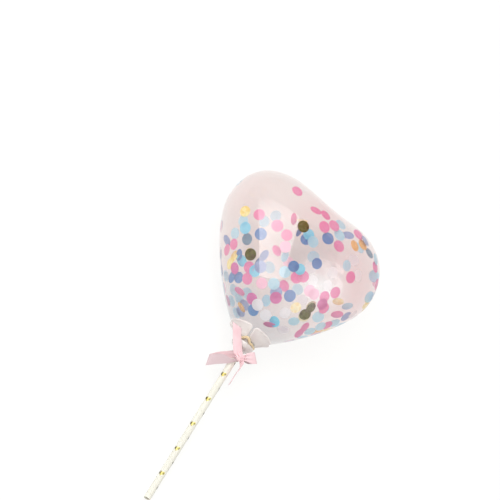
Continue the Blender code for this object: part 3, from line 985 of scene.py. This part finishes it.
def tilted_points(disc, radius, slack, turn):
    """The points of a disc that touches the film with one edge and leans into the balloon."""
    _, outward = outward_at(disc["spot"])
    along = photo_right * math.cos(disc["way"]) + photo_up * math.sin(disc["way"])
    lean = math.acos(disc["narrow"])
    level, steep = to_camera.cross(along) * math.cos(lean), to_camera * math.sin(lean)
    tilted = max((level + steep, level - steep), key=lambda way: abs(along.cross(way).dot(outward)))
    angles = [turn + math.tau * k / DISC_SIDES for k in range(DISC_SIDES)]
    rims = [(along * math.cos(angle) + tilted * math.sin(angle)) * radius for angle in angles]
    room = None if outward.dot(to_camera) < LEAST_FACING else touching(disc["spot"], rims)
    if room is None:
        along = (along - outward * outward.dot(along)).normalized()
        tilted = outward.cross(along)
        middle = disc["spot"] - outward * slack
    else:
        middle = disc["spot"] + to_camera * (room - slack / LEAST_FACING)
    normal = along.cross(tilted)
    normal = normal if normal.dot(outward) > 0 else -normal
    outside, inside = [], []
    for share, sides in DISC_RINGS:
        for angle in angles[:sides]:
            way_out = along * math.cos(angle) + tilted * math.sin(angle)
            place = middle + way_out * radius * share - normal * (DISC_CURL * share * share)
            outside.append(place)
            inside.append(place - normal * DISC_THICKNESS)
    return outside, inside


def disc_shell(disc, diameter, slack, turn):
    """A thin disc as a closed shell in upright coordinates."""
    shape = clinging_points if disc["narrow"] == 1.0 else tilted_points
    outside, inside = shape(disc, diameter / 2, slack, turn)
    faces = plate_faces(len(DISC_RINGS) - 1, DISC_SIDES)
    return [upright @ point for point in outside + inside], faces


def layer_discs(discs):
    """Give each disc its layer: one deeper than the deepest disc before it that it overlaps."""
    for i, disc in enumerate(discs):
        under = [
            other["layer"] for other in discs[:i]
            if (other["spot"] - disc["spot"]).length < DISC_DIAMETER * OVERLAP
        ]
        disc["layer"] = max(under) + 1 if under else 0
    return discs


# %% [markdown]
# ## Confetti finishes
#
# The coloured discs are tissue-thin film with a printed colour and a soft gloss. The gold ones are
# metal foil. In the photograph they look gold, pale gold, ochre or dark olive, by what each of them
# mirrors. A true mirror would show this studio instead, so each look is a shade of its own with
# little metal in it.

# %% Confetti materials
DISC_COLOURS = {
    "hot_pink": (paint(234, 108, 164), paint(242, 134, 187)),
    "soft_pink": (paint(255, 186, 216), paint(255, 204, 228)),
    "magenta": (paint(204, 72, 152), paint(216, 98, 172)),
    "dark_blue": (paint(20, 118, 186), paint(52, 140, 200)),
    "slate": (paint(44, 112, 140), paint(108, 168, 190)),
    "sky_blue": (paint(92, 214, 255), paint(128, 228, 255)),
    "light_blue": (paint(160, 224, 248), paint(186, 236, 252)),
    "periwinkle": (paint(112, 148, 200), paint(142, 172, 214)),
    "white": (paint(248, 250, 254), paint(254, 254, 255)),
}
# Each foil is its colour, the colour of its darker facets and its metal; these colours are a painted
# reflection of what the foil would mirror.
FOIL_COLOURS = {
    "gold": (paint(252, 244, 176), paint(248, 228, 138), 0.05),
    "pale_gold": (paint(255, 250, 215), paint(255, 238, 184), 0.05),
    "ochre": (paint(250, 202, 136), paint(240, 186, 120), 0.05),
    "olive": (paint(60, 92, 0), paint(22, 62, 0), 0.1),
}
# Discs are painted paler towards this colour by the value their mesh carries: painted light.
PAINTED_LIGHT_TINT = paint(255, 246, 248)
FOIL_FACETS = 420.0
FOIL_BUMP = (0.5, 0.15 * MM)


def make_disc_material(colour):
    """Printed tissue film in one colour, slightly glossy, painted paler where it carries painted
    light.
    """
    paper, fibre = DISC_COLOURS[colour]
    return finished_material(
        colour.replace("_", " ") + " tissue", paper_fibre,
        {"Paper": paper, "Fibre": fibre, "Scale": 700.0}, {"painted_light": PAINTED_LIGHT_TINT}, (0.25, 0.1 * MM),
        Subsurface_Weight=0.4, Subsurface_Radius=EVENLY, Subsurface_Scale=1.0 * MM,
        Coat_Weight=0.4, Coat_Roughness=0.18,
    )


def make_foil_material(name, foil, shade, metallic, tints, bump):
    """Crinkled metal foil, its facets painted lighter and darker as painted reflection."""
    values = {"Foil": foil, "Shade": shade, "Scale": FOIL_FACETS}
    return finished_material(name, crinkled_foil, values, tints, bump, Metallic=metallic)


# %% Build one piece for each colour
DISC_SIZES = (0.95, 1.05)
PAINTED_LIGHT_SPREAD = (0.0, 0.08)


def make_confetti(discs):
    """One object for each colour, with all its discs."""
    for colour in sorted({disc["colour"] for disc in discs}):
        shells, painted_lights = [], []
        for disc in discs:
            if disc["colour"] == colour:
                diameter = DISC_DIAMETER * luck.uniform(*DISC_SIZES)
                slack = FIRST_LAYER + LAYER_STEP * disc["layer"]
                shells.append(disc_shell(disc, diameter, slack, luck.uniform(0, math.tau)))
                painted_lights += [disc["painted_light"] + luck.uniform(*PAINTED_LIGHT_SPREAD)] * len(shells[-1][0])
        if colour in FOIL_COLOURS:
            name = colour.replace("_", " ") + " foil"
            material = make_foil_material(name, *FOIL_COLOURS[colour], {}, FOIL_BUMP)
        else:
            material = make_disc_material(colour)
        piece = make_piece("confetti_" + colour, *join_shells(shells), material)
        add_values(piece, "painted_light", painted_lights)
        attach(piece, "root")


make_confetti(layer_discs(near_discs + far_discs + scattered))

# %% [markdown]
# ## The petal cup
#
# The cup is one moulding of milky plastic: a socket for the straw, a bowl with a groove, and four
# petals with a round bead along their edge. The hub is turned from its section. Each petal is a fan
# of rings that shrink from its outline to its middle, because that lets the bead follow the outline
# all the way round.

# %% The hub, turned from its section
FIT_GAP = 0.3 * MM
PETAL_THICKNESS = 1.0 * MM
WAIST_RADIUS = 7.5 * MM
SHOULDER_RADIUS = 10.0 * MM
SOCKET_RADIUS = 4.5 * MM
BORE_RADIUS = 3.3 * MM
SOCKET_FOOT = -3.0 * MM
SOCKET_TOP = 6.0 * MM
HUB_FLOOR = 1.2 * MM
HUB_WALL = 1.2 * MM
GROOVE_FLOOR = 4.99 * MM
HUB_SIDES = 96
RING_INSET = 0.06 * MM
GAP_FOOT = 2.0 * MM
BOWL_STEPS = 8
ROUNDING = 0.25 * MM
ROUNDING_STEPS = 4
ROUNDING_SHARE = 0.4

cone_out = Vector((math.cos(CONE_ANGLE), -math.sin(CONE_ANGLE)))


def on_slope(offset, rise):
    """(radius, height) this far off the balloon's cone and this far up its slope."""
    return CONE_BASE + cone_out * offset + cone_rise * rise


def slope_at_radius(offset, radius):
    """The rise at which a line this far off the cone has the radius."""
    return (radius - CONE_BASE.x - cone_out.x * offset) / cone_rise.x


def rounded(profile):
    """The closed section with each of its corners rounded, but for those on the straw's axis."""
    result = []
    for i, corner in enumerate(profile):
        if corner.x == 0.0:
            result.append(corner)
            continue
        before, after = profile[i - 1] - corner, profile[(i + 1) % len(profile)] - corner
        reach = min(ROUNDING, before.length * ROUNDING_SHARE, after.length * ROUNDING_SHARE)
        start = corner + before.normalized() * reach
        end = corner + after.normalized() * reach
        for step in range(ROUNDING_STEPS + 1):
            share = step / ROUNDING_STEPS
            result.append(start.lerp(corner, share).lerp(corner.lerp(end, share), share))
    return result


def hub_section():
    """Closed section of the hub, from the ring between the petals down the outside."""
    inner = FIT_GAP
    outer = FIT_GAP + PETAL_THICKNESS - RING_INSET
    bowl = []
    for i in range(BOWL_STEPS + 1):
        angle = math.radians(90 * i / BOWL_STEPS)
        radius = SOCKET_RADIUS + (SHOULDER_RADIUS - SOCKET_RADIUS) * math.cos(angle)
        bowl.append(Vector((radius, GROOVE_FLOOR * (1 - math.sin(angle)))))
    wall = WAIST_RADIUS - HUB_WALL
    return [
        on_slope(inner, GAP_FOOT),
        on_slope(outer, GAP_FOOT),
        on_slope(outer, slope_at_radius(outer, WAIST_RADIUS)),
        Vector((WAIST_RADIUS, GROOVE_FLOOR)),
        *bowl,
        Vector((SOCKET_RADIUS, SOCKET_FOOT)),
        Vector((BORE_RADIUS, SOCKET_FOOT)),
        Vector((BORE_RADIUS, SOCKET_TOP)),
        Vector((0.0, SOCKET_TOP)),
        Vector((0.0, SOCKET_TOP + HUB_FLOOR)),
        Vector((SOCKET_RADIUS, SOCKET_TOP + HUB_FLOOR)),
        Vector((SOCKET_RADIUS, GROOVE_FLOOR)),
        Vector((wall, GROOVE_FLOOR)),
        on_slope(inner, slope_at_radius(inner, wall)),
    ]


def turned_shell(section):
    """The section turned round the straw's axis; points on the axis are shared."""
    points, index = [], []
    for spot in section:
        sides = 1 if spot.x == 0.0 else HUB_SIDES
        index.append([len(points) + k % sides for k in range(HUB_SIDES)])
        for k in range(sides):
            angle = math.tau * k / HUB_SIDES
            points.append(Vector((spot.x * math.cos(angle), spot.x * math.sin(angle), spot.y)))
    faces = []
    for here, there in zip(index, index[1:] + index[:1]):
        for k in range(HUB_SIDES):
            j = (k + 1) % HUB_SIDES
            face = tuple(dict.fromkeys((here[k], here[j], there[j], there[k])))
            if len(face) > 2:
                faces.append(face)
    return points, faces


# %% One petal
PETALS = 4
PETAL_GAP = 1.4 * MM
PETAL_CORNER = 4.0 * MM
PETAL_FOOT = 0.2 * MM
PETAL_MIDDLE = PETAL_LENGTH * 0.52
SIDE_STEPS = 14
CORNER_STEPS = 15
HALF_TOP_STEPS = 6
HALF_FOOT_STEPS = 4
BEAD_WIDTH = 1.5 * MM
BEAD_RISE = 0.5 * MM
PETAL_INSETS = (1.0, 0.985, 0.965, 0.94, 0.91, 0.87, 0.82, 0.7, 0.5, 0.25)


def petal_outline():
    """The petal's edge as (place across, rise), from its foot up one side and down the other."""
    straight = PETAL_LENGTH - PETAL_CORNER - PETAL_FOOT
    side = [(PETAL_GAP / 2, PETAL_FOOT + straight * i / SIDE_STEPS) for i in range(SIDE_STEPS)]
    for i in range(CORNER_STEPS + 1):
        angle = math.pi / 2 * i / CORNER_STEPS
        gap = PETAL_GAP / 2 + PETAL_CORNER * (1 - math.cos(angle))
        side.append((gap, PETAL_LENGTH - PETAL_CORNER * (1 - math.sin(angle))))
    points = []
    for gap, rise in side:
        radius = on_slope(FIT_GAP, rise).x
        half_turn = math.pi / PETALS - math.asin(gap / radius)
        points.append((half_turn * radius, rise))
    foot_half, top_half = points[0][0], points[-1][0]
    top = [(top_half * (1 - i / HALF_TOP_STEPS), PETAL_LENGTH) for i in range(1, 2 * HALF_TOP_STEPS)]
    foot = [(foot_half * (i / HALF_FOOT_STEPS - 1), PETAL_FOOT) for i in range(1, 2 * HALF_FOOT_STEPS)]
    return points + top + [(-x, rise) for x, rise in reversed(points)] + foot


def edge_distance(spot, outline):
    """How far the spot is from the petal's edge."""
    best = 1.0
    for i, start in enumerate(outline):
        end = outline[(i + 1) % len(outline)]
        line = Vector(end) - Vector(start)
        share = max(0.0, min(1.0, (spot - Vector(start)).dot(line) / line.length_squared))
        best = min(best, (spot - Vector(start) - line * share).length)
    return best


def petal_offset(distance):
    """Thickness of the petal at this distance from its edge: a round bead, then the plain sheet."""
    if distance >= BEAD_WIDTH:
        return PETAL_THICKNESS
    share = distance / BEAD_WIDTH
    bead = (PETAL_THICKNESS + BEAD_RISE) * math.sqrt(max(0.0, 1 - (1 - 2 * share) ** 2))
    if share < 0.5:
        return bead
    return max(PETAL_THICKNESS, bead)


def petal_shell(turn):
    """One petal as a closed shell: its outer face carries the bead, its inner face is smooth."""
    outline = petal_outline()
    middle = Vector((0.0, PETAL_MIDDLE))
    outer, inner = [], []
    for inset in PETAL_INSETS:
        for x, rise in outline:
            spot = middle + (Vector((x, rise)) - middle) * inset
            thickness = petal_offset(edge_distance(spot, outline))
            angle = spot.x / on_slope(FIT_GAP, spot.y).x
            for layer, offset in ((outer, FIT_GAP + thickness), (inner, FIT_GAP)):
                layer.append(around_straw(turn + angle, *on_slope(offset, spot.y)))
    for layer, offset in ((outer, FIT_GAP + PETAL_THICKNESS), (inner, FIT_GAP)):
        layer.append(around_straw(turn, *on_slope(offset, PETAL_MIDDLE)))
    return outer + inner, plate_faces(len(PETAL_INSETS), len(outline))


# %% Cup finish and piece
def make_cup_material():
    """Milky moulded plastic: faint flow marks, a soft gloss and some light inside."""
    material, tree, shader = new_material(
        "milky moulded plastic", Subsurface_Weight=0.85, Subsurface_Radius=EVENLY,
        Subsurface_Scale=3.0 * MM, Coat_Weight=0.25, Coat_Roughness=0.2, IOR=1.5,
    )
    flow = texture(tree, "Noise", Scale=90.0, Detail=4.0).outputs["Fac"]
    grain = texture(tree, "Noise", Scale=1500.0, Detail=2.0).outputs["Fac"]
    amount = spread(tree, flow, 0.35, 0.7)
    colour = mix_colour(tree, amount, paint(209, 199, 197), paint(221, 215, 211))
    roughness = spread(tree, flow, 0.3, 0.7, 0.25, 0.42)
    finish_surface(tree, shader, colour, roughness, grain, 0.12, 0.1 * MM)
    return material


def cup_shells():
    """The hub and its four petals; a gap between two petals faces the bow."""
    petals = [petal_shell(math.pi * (2 * i + 1) / PETALS) for i in range(PETALS)]
    return [turned_shell(rounded(hub_section()))] + petals


cup = make_piece("cup", *join_shells(cup_shells()), make_cup_material())
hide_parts("balloon_cup")
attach(cup, "root")

# %% [markdown]
# ## The paper straw
#
# A paper straw is a strip wound in a spiral and glued, so a fine step runs round it like a barber's
# pole. A tube with many rings can carry that step as real shape. The gold hearts are foil pressed on
# the paper: thin curved patches of their own, in three staggered rows.

# %% Wind the tube
STRAW_TOP = 5.5 * MM
STRAW_RINGS = 322
STRAW_SIDES = 64
WINDING_PITCH = 15.0 * MM
SEAM_STEP = 0.05 * MM
SEAM_WIDTH = 0.12


def winding_step(angle, height):
    """How far the paper stands in at this place: a small step at the seam, then level again."""
    phase = (height / WINDING_PITCH + angle / math.tau) % 1.0
    return SEAM_STEP * max(0.0, 1.0 - phase / SEAM_WIDTH)


def straw_shell():
    """The open tube, wound with its seam, its ends cut square."""
    length = STRAW_TOP - STRAW_BOTTOM
    profile = [
        (STRAW_RADIUS, STRAW_BOTTOM + length * i / (STRAW_RINGS - 1), True) for i in range(STRAW_RINGS)
    ]
    profile += [(STRAW_RADIUS - STRAW_WALL, height, False) for height in (STRAW_TOP, STRAW_BOTTOM)]
    points = []
    for radius, height, wound in profile:
        for k in range(STRAW_SIDES):
            angle = math.tau * k / STRAW_SIDES
            here = radius - (winding_step(angle, height) if wound else 0.0)
            points.append(Vector((here * math.cos(angle), here * math.sin(angle), height)))
    return points, ring_faces(len(profile), STRAW_SIDES, closed=True)


def make_straw_material():
    """Warm white paper."""
    return finished_material(
        "white straw paper", paper_fibre,
        {"Paper": paint(224, 222, 210), "Fibre": paint(228, 226, 214), "Scale": 300.0},
        {}, (0.05, 0.1 * MM),
        Subsurface_Weight=0.3, Subsurface_Radius=EVENLY, Subsurface_Scale=1.2 * MM,
    )


straw = make_piece("straw_tube", *straw_shell(), make_straw_material())
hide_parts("straw")
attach(straw, "root")

# %% [markdown]
# ## Gold hearts on the straw
#
# The foil hearts stand five along the part of the straw that shows, one every 25.8 mm, and every
# second row is shifted by half of that. The photograph shows them bright in the middle and dark at
# both lobes and at the tip, where the curved foil mirrors the dark of the room, so each mesh point
# carries how dark this painted reflection is there.

# %% Foil hearts
HEART_MARK = 5.4 * MM
MARK_SPACING = 25.8 * MM
FIRST_MARK = -27.4 * MM
MARK_ROWS = 3
MARK_TURN = math.radians(-18.0)
MARK_LIFT = 0.03 * MM
MARK_POINTS = 28
MARK_RINGS = (1.0, 0.66, 0.33)
MARK_BUMP = (0.3, 0.1 * MM)
# Colour of the painted reflection where the foil mirrors the dark of the room.
MARK_REFLECTED_DARK = paint(40, 30, 8)
# The left lobe's painted reflection: how dark, where it starts and how wide.
DARK_LEFT = 0.95
DARK_LEFT_FROM = 0.07
DARK_LEFT_WIDTH = 0.1
# Each dark patch of painted reflection is its middle and reach, in shares of the heart's size, and
# how dark it is.
DARK_PATCHES = (((0.27, 0.05), (0.15, 0.2), 0.95), ((0.0, -0.42), (0.1, 0.12), 0.8))


def mark_grid():
    """Places on a small heart as (across, up) in shares of its size, its lobes up, rim first."""
    places = []
    for share in MARK_RINGS:
        for i in range(MARK_POINTS):
            angle = math.tau * i / MARK_POINTS
            lobes = 13 * math.cos(angle) - 5 * math.cos(2 * angle)
            up = (lobes - 2 * math.cos(3 * angle) - math.cos(4 * angle)) / 16
            places.append((math.sin(angle) ** 3 / 2 * share, up / 2 * share))
    return places + [(0.0, 0.0)]


def mark_shell(turn, height):
    """A heart wrapped on the straw at this turn and height."""
    points = []
    for radius in (STRAW_RADIUS + MARK_LIFT, STRAW_RADIUS - MARK_LIFT):
        for across, up in mark_grid():
            angle = turn + across * HEART_MARK / STRAW_RADIUS
            points.append(around_straw(angle, radius, height + up * HEART_MARK))
    return points, plate_faces(len(MARK_RINGS), MARK_POINTS)


def mark_painted_reflection():
    """For each point of one heart, in the order of mark_shell, how dark the painted reflection is
    there.
    """
    layer = []
    for across, up in mark_grid()[:-1]:
        left = DARK_LEFT * min(1.0, max(0.0, (-across - DARK_LEFT_FROM) / DARK_LEFT_WIDTH))
        layer.append(max(left, deepest_patch(across, up, DARK_PATCHES)))
    return 2 * (layer + [0.0])


def mark_shells():
    """Hearts in rows along the straw, every second row shifted by half a space."""
    shells = []
    for row in range(MARK_ROWS):
        turn = MARK_TURN + math.tau * row / MARK_ROWS
        height = FIRST_MARK + (MARK_SPACING / 2 if row % 2 else 0.0)
        while height > STRAW_BOTTOM + HEART_MARK:
            if height < SOCKET_FOOT - HEART_MARK:
                shells.append(mark_shell(turn, height))
            height -= MARK_SPACING
    return shells


marks = mark_shells()
mark_foil = make_foil_material(
    "gold foil mark", paint(240, 228, 136), paint(232, 214, 116), 0.1, {"painted_reflection": MARK_REFLECTED_DARK},
    MARK_BUMP,
)
hearts = make_piece("straw_hearts", *join_shells(marks), mark_foil)
add_values(hearts, "painted_reflection", mark_painted_reflection() * len(marks))
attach(hearts, "root")

# %% [markdown]
# ## The satin bow
#
# The ribbon is one length of pale pink satin: a turn round the straw, a knot, a long and a short
# loop, a tail that stands up against the petals and one that hangs down the straw. A hand-tied bow
# has no regular shape, so each stretch is a grid of points through a few stations read off the
# photograph, with folds that die away from the knot, and it gets its thickness at the end.

# %% Stations of the ribbon
RIBBON_THICKNESS = 0.3 * MM
WRAP_RADIUS = 4.0 * MM
WRAP_TOP = -3.5 * MM
WRAP_WIDTH = 6.5 * MM
KNOT_WAY = Vector((0.58, -0.81, 0.0))
KNOT_DISTANCE = 8.6 * MM
KNOT_HEIGHT = -8.5 * MM

# Each station is a place on a stretch's middle line and the ribbon's half width there, both as
# (right, up, near) in the photograph's directions, in mm from the knot.
LONG_LOOP = (
    ((-1.6, 1.4, -0.6), (0.4, 1.6, 0.0)), ((-6.0, 2.9, -2.5), (0.3, 3.4, 0.6)),
    ((-13.2, 1.8, -4.0), (0.5, 4.3, 1.2)), ((-20.7, 0.8, -3.8), (1.0, 4.6, 1.0)),
    ((-26.4, -0.6, -2.4), (1.5, 4.6, 0.6)), ((-28.3, -1.1, 0.4), (1.6, 4.5, 1.0)),
    ((-26.4, -1.1, 2.6), (1.5, 4.5, 1.6)), ((-20.7, -0.3, 3.6), (1.0, 4.4, 2.2)),
    ((-14.4, -0.5, 3.4), (0.4, 3.8, 2.2)), ((-10.5, -1.5, 3.0), (0.2, 2.5, 1.8)),
    ((-7.4, -1.8, 2.6), (0.1, 1.3, 1.5)), ((-3.9, -1.1, 1.8), (0.1, 1.0, 1.4)),
    ((-0.6, -0.4, 0.4), (0.1, 1.0, 1.2)),
)
SHORT_LOOP = (
    ((0.7, -0.2, 0.6), (-0.2, 1.5, 0.5)), ((4.0, 0.4, 2.6), (-0.5, 3.1, 0.9)),
    ((7.8, 0.1, 3.2), (-0.8, 4.6, 1.4)), ((10.9, 0.2, 2.2), (-1.0, 4.9, 1.6)),
    ((12.0, 0.2, 0.0), (-1.0, 4.9, 1.2)), ((10.7, 0.2, -2.0), (-1.0, 4.8, 0.6)),
    ((7.0, -0.6, -2.8), (-0.8, 4.2, 0.0)), ((3.6, -1.2, -1.8), (-0.5, 3.0, 0.0)),
    ((0.7, 0.0, -0.5), (-0.2, 1.5, -0.3)),
)
RAISED_TAIL = (
    ((-0.8, 0.8, 0.8), (2.0, 0.3, -0.8)), ((-2.6, 4.6, 2.4), (3.6, 0.2, -2.0)),
    ((-3.1, 10.1, 3.4), (3.6, 0.0, -2.6)), ((-3.4, 16.8, 4.4), (3.5, 0.0, -2.9)),
    ((-3.4, 23.5, 5.4), (3.5, 0.0, -2.9)), ((-3.5, 30.6, 6.2), (3.5, 0.0, -2.9)),
)
HANGING_TAIL = (
    ((0.1, -0.8, 1.0), (1.3, 0.2, 1.0)), ((0.4, -3.8, 1.9), (1.9, 0.3, 2.5)),
    ((0.1, -6.3, 2.1), (1.1, 0.5, 3.8)), ((-1.8, -9.7, 2.3), (0.7, 0.4, 4.6)),
    ((-4.5, -13.0, 2.2), (0.5, 0.3, 4.9)), ((-7.1, -17.2, 1.8), (0.4, 0.2, 4.9)),
    ((-10.5, -22.5, 1.0), (0.3, 0.2, 4.9)),
)

knot_way = (Matrix.Rotation(-BOW_TURN, 3, "Z") @ KNOT_WAY).normalized()
knot_on_table = lying @ (knot_way * KNOT_DISTANCE + Vector((0.0, 0.0, KNOT_HEIGHT)))


def in_view(right_mm, up_mm, near_mm):
    """The table-frame vector of so many mm in the photograph's directions."""
    return (photo_right * right_mm + photo_up * up_mm + to_camera * near_mm) * MM


# %% Strips of ribbon
STRIP_COLUMNS = 15
STEPS_PER_STATION = 7
FOLD_REACH = 6.0 * MM
FOLD_DEPTH = 0.7 * MM
FOLD_HALVES = 2.5
CURL_LEVEL = 0.3
LOOK_ALONG = 0.01


def smooth_between(values, place):
    """The value at this place along a list, on a curve that passes through each of them."""
    index = min(int(place), len(values) - 2)
    share = place - index
    here, there = values[index], values[index + 1]
    before = values[index - 1] if index > 0 else here * 2 - there
    after = values[index + 2] if index + 2 < len(values) else there * 2 - here
    pull = (there - before) / 2, (after - here) / 2
    cube, square = share**3, share**2
    return (
        here * (2 * cube - 3 * square + 1) + pull[0] * (cube - 2 * square + share)
        + there * (3 * square - 2 * cube) + pull[1] * (cube - square)
    )


def strip_grid(stations, both_ends, slant=0.0, curl=0.0):
    """Table-frame grid of a stretch through its stations, folded where it enters the knot."""
    middles = [in_view(*middle) for middle, _ in stations]
    halves = [in_view(*half) for _, half in stations]
    last = len(stations) - 1
    rows = last * STEPS_PER_STATION
    line = [smooth_between(middles, last * i / rows) for i in range(rows + 1)]
    length = sum((b - a).length for a, b in zip(line, line[1:]))
    grid = []
    for i in range(rows + 1):
        row = []
        for j in range(STRIP_COLUMNS):
            side = 2 * j / (STRIP_COLUMNS - 1) - 1
            share = i / rows * (1 - slant * (1 + side) / 2)
            middle = smooth_between(middles, last * share)
            ahead = smooth_between(middles, last * min(1.0, share + LOOK_ALONG))
            behind = smooth_between(middles, last * max(0.0, share - LOOK_ALONG))
            half = smooth_between(halves, last * share)
            normal = (ahead - behind).cross(half).normalized()
            from_knot = min(share, 1 - share if both_ends else 1.0) * length
            near = math.exp(-((from_knot / FOLD_REACH) ** 2))
            fold = FOLD_DEPTH * near * math.cos(FOLD_HALVES * math.pi * side)
            fold += curl * (side * side - CURL_LEVEL) * (1 - near)
            row.append(knot_on_table + middle + half * side + normal * fold)
        grid.append(row)
    return grid, length


def thick_grid(grid, thickness, cyclic):
    """A closed shell from a grid of points, half its thickness on each side."""
    rows, columns = len(grid), len(grid[0])
    front, back = [], []
    for i in range(rows):
        for j in range(columns):
            before = grid[i - 1][j] if i > 0 or cyclic else grid[i][j]
            after = grid[(i + 1) % rows][j] if i < rows - 1 or cyclic else grid[i][j]
            across = grid[i][min(j + 1, columns - 1)] - grid[i][max(j - 1, 0)]
            normal = (after - before).cross(across).normalized() * (thickness / 2)
            front.append(grid[i][j] + normal)
            back.append(grid[i][j] - normal)
    count = rows * columns
    faces = []
    for i in range(rows if cyclic else rows - 1):
        here, there = i * columns, (i + 1) % rows * columns
        for j in range(columns - 1):
            corners = (here + j, here + j + 1, there + j + 1, there + j)
            faces += [corners, tuple(count + index for index in reversed(corners))]
        for j in (0, columns - 1):
            faces.append((here + j, there + j, count + there + j, count + here + j))
    for start in () if cyclic else (0, count - columns):
        for k in range(start, start + columns - 1):
            faces.append((k, k + 1, count + k + 1, count + k))
    return front + back, faces


# %% The turn round the straw and the knot's band
WRAP_STEPS = 64
WRAP_BULGE = 0.25 * MM
WRAP_RIPPLE = 0.08 * MM
WRAP_RIPPLE_HALVES = 6
KNOT_STEPS = 56
KNOT_MIDDLE = (-1.2, 1.3, 0.8)
KNOT_ACROSS = (0.87, 0.50, 0.0)
KNOT_AROUND = (0.50, -0.87, 0.0)
KNOT_WIDTH = 6.6 * MM
KNOT_HALF_WRAP = 4.6 * MM
KNOT_HALF_DEPTH = 3.6 * MM
KNOT_ROUNDING = 0.72
CREASE_DEPTH = 0.16
CREASE_HALVES = 3.5
CREASE_WANDER = 0.8


def wrap_grid():
    """The turn of ribbon round the straw, in the table frame."""
    grid = []
    for i in range(WRAP_STEPS):
        turn = math.tau * i / WRAP_STEPS
        row = []
        for j in range(STRIP_COLUMNS):
            share = j / (STRIP_COLUMNS - 1)
            bulge = WRAP_BULGE * math.sin(math.pi * share)
            bulge += WRAP_RIPPLE * math.sin(WRAP_RIPPLE_HALVES * math.pi * share + turn)
            row.append(lying @ around_straw(turn, WRAP_RADIUS + bulge, WRAP_TOP - WRAP_WIDTH * share))
        grid.append(row)
    return grid


def knot_grid():
    """The band of the knot, creased lengthwise, over the front of the bow and back behind it."""
    across = in_view(*KNOT_ACROSS) / MM
    around = in_view(*KNOT_AROUND) / MM
    middle = knot_on_table + in_view(*KNOT_MIDDLE)
    grid = []
    for i in range(KNOT_STEPS):
        angle = math.tau * i / KNOT_STEPS
        row = []
        for j in range(STRIP_COLUMNS):
            side = 2 * j / (STRIP_COLUMNS - 1) - 1
            crease = math.cos(CREASE_HALVES * math.pi * side + CREASE_WANDER * math.sin(angle))
            reach = math.sqrt(1 - KNOT_ROUNDING * side * side) * (1 + CREASE_DEPTH * crease)
            nearer = to_camera * (math.cos(angle) * reach * KNOT_HALF_DEPTH)
            wrapped = around * (math.sin(angle) * reach * KNOT_HALF_WRAP)
            row.append(middle + across * (side * KNOT_WIDTH / 2) + nearer + wrapped)
        grid.append(row)
    return grid


# %% Put the bow together
TAIL_CLEARANCE = 0.5 * MM

cup_faces = [tuple(face.vertices) for face in cup.data.polygons]
cup_tree = BVHTree.FromPolygons([vertex.co for vertex in cup.data.vertices], cup_faces)


def laid_on_cup(grid):
    """The grid with every point that would sink into the cup or the film brought in front of it."""
    for row in grid:
        for j, point in enumerate(row):
            start = point + to_camera * HEART_DEPTH
            for tree in (cup_tree, film_tree):
                hit = tree.ray_cast(start, -to_camera)[0]
                if hit is not None:
                    lack = (hit - row[j]).dot(to_camera) + TAIL_CLEARANCE
                    row[j] = row[j] + to_camera * max(0.0, lack)
    return grid


long_loop, long_length = strip_grid(LONG_LOOP, True)
short_loop, short_length = strip_grid(SHORT_LOOP, True)
raised_tail, raised_length = strip_grid(RAISED_TAIL, False, slant=0.15, curl=0.5 * MM)
hanging_tail, hanging_length = strip_grid(HANGING_TAIL, False, slant=0.1, curl=0.4 * MM)
# Each stretch is its grid, whether it closes, and how grey its first and second sides are: the dull
# back, and painted shade.
stretches = (
    (wrap_grid(), True, (0.0, 1.0)), (knot_grid(), True, (0.0, 1.0)), (long_loop, False, (1.0, 0.5)),
    (short_loop, False, (0.3, 1.0)), (laid_on_cup(raised_tail), False, (1.0, 0.0)),
    (hanging_tail, False, (0.0, 1.0)),
)
ribbon_shells, back_and_painted_shade = [], []
for grid, cyclic, back_and_shade in stretches:
    points, faces = thick_grid(grid, RIBBON_THICKNESS, cyclic)
    ribbon_shells.append(([upright @ point for point in points], faces))
    back_and_painted_shade += [back_and_shade[0]] * (len(points) // 2) + [back_and_shade[1]] * (len(points) // 2)

# %% [markdown]
# ## Satin
#
# Satin is woven so that long threads float on its face: the face is smooth and shines along bands,
# while the back is duller and greyer. The bow shows both sides, so the mesh carries a value for each
# point that greys it: the dull back, and painted shade on some faces of the loops. The weave is a
# fine wave texture that breaks up the gloss, and a sheen adds the pale bloom at grazing angles.

# %% Satin material
def make_satin_material():
    """Pale pink satin with a fine weave, a shiny face, a dull back and painted shade on some faces."""
    material, tree, shader = new_material(
        "pale pink satin", Sheen_Weight=0.12, Sheen_Roughness=0.35, Sheen_Tint=(1.0, 0.9, 0.92, 1.0),
        Specular_IOR_Level=0.35,
    )
    weave = texture(tree, "Wave", Scale=900.0, Distortion=1.5, Detail=2.0)
    weave.wave_type = "BANDS"
    weave.bands_direction = "DIAGONAL"
    threads = weave.outputs["Fac"]
    bands = texture(tree, "Noise", Scale=110.0, Detail=3.0).outputs["Fac"]
    amount = spread(tree, bands, 0.3, 0.7)
    colour = mix_colour(tree, amount, paint(236, 200, 205), paint(243, 210, 214))
    # Greyer where the mesh says: the satin's dull back, and painted shade on faces of the loops.
    colour = tinted(tree, colour, "back_and_painted_shade", paint(212, 190, 194))
    roughness = spread(tree, threads, 0.0, 1.0, 0.32, 0.48)
    finish_surface(tree, shader, colour, roughness, threads, 0.15, 0.05 * MM)
    return material


bow = make_piece("satin_bow", *join_shells(ribbon_shells), make_satin_material())
add_values(bow, "back_and_painted_shade", back_and_painted_shade)
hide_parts("ribbon")
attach(bow, "root")
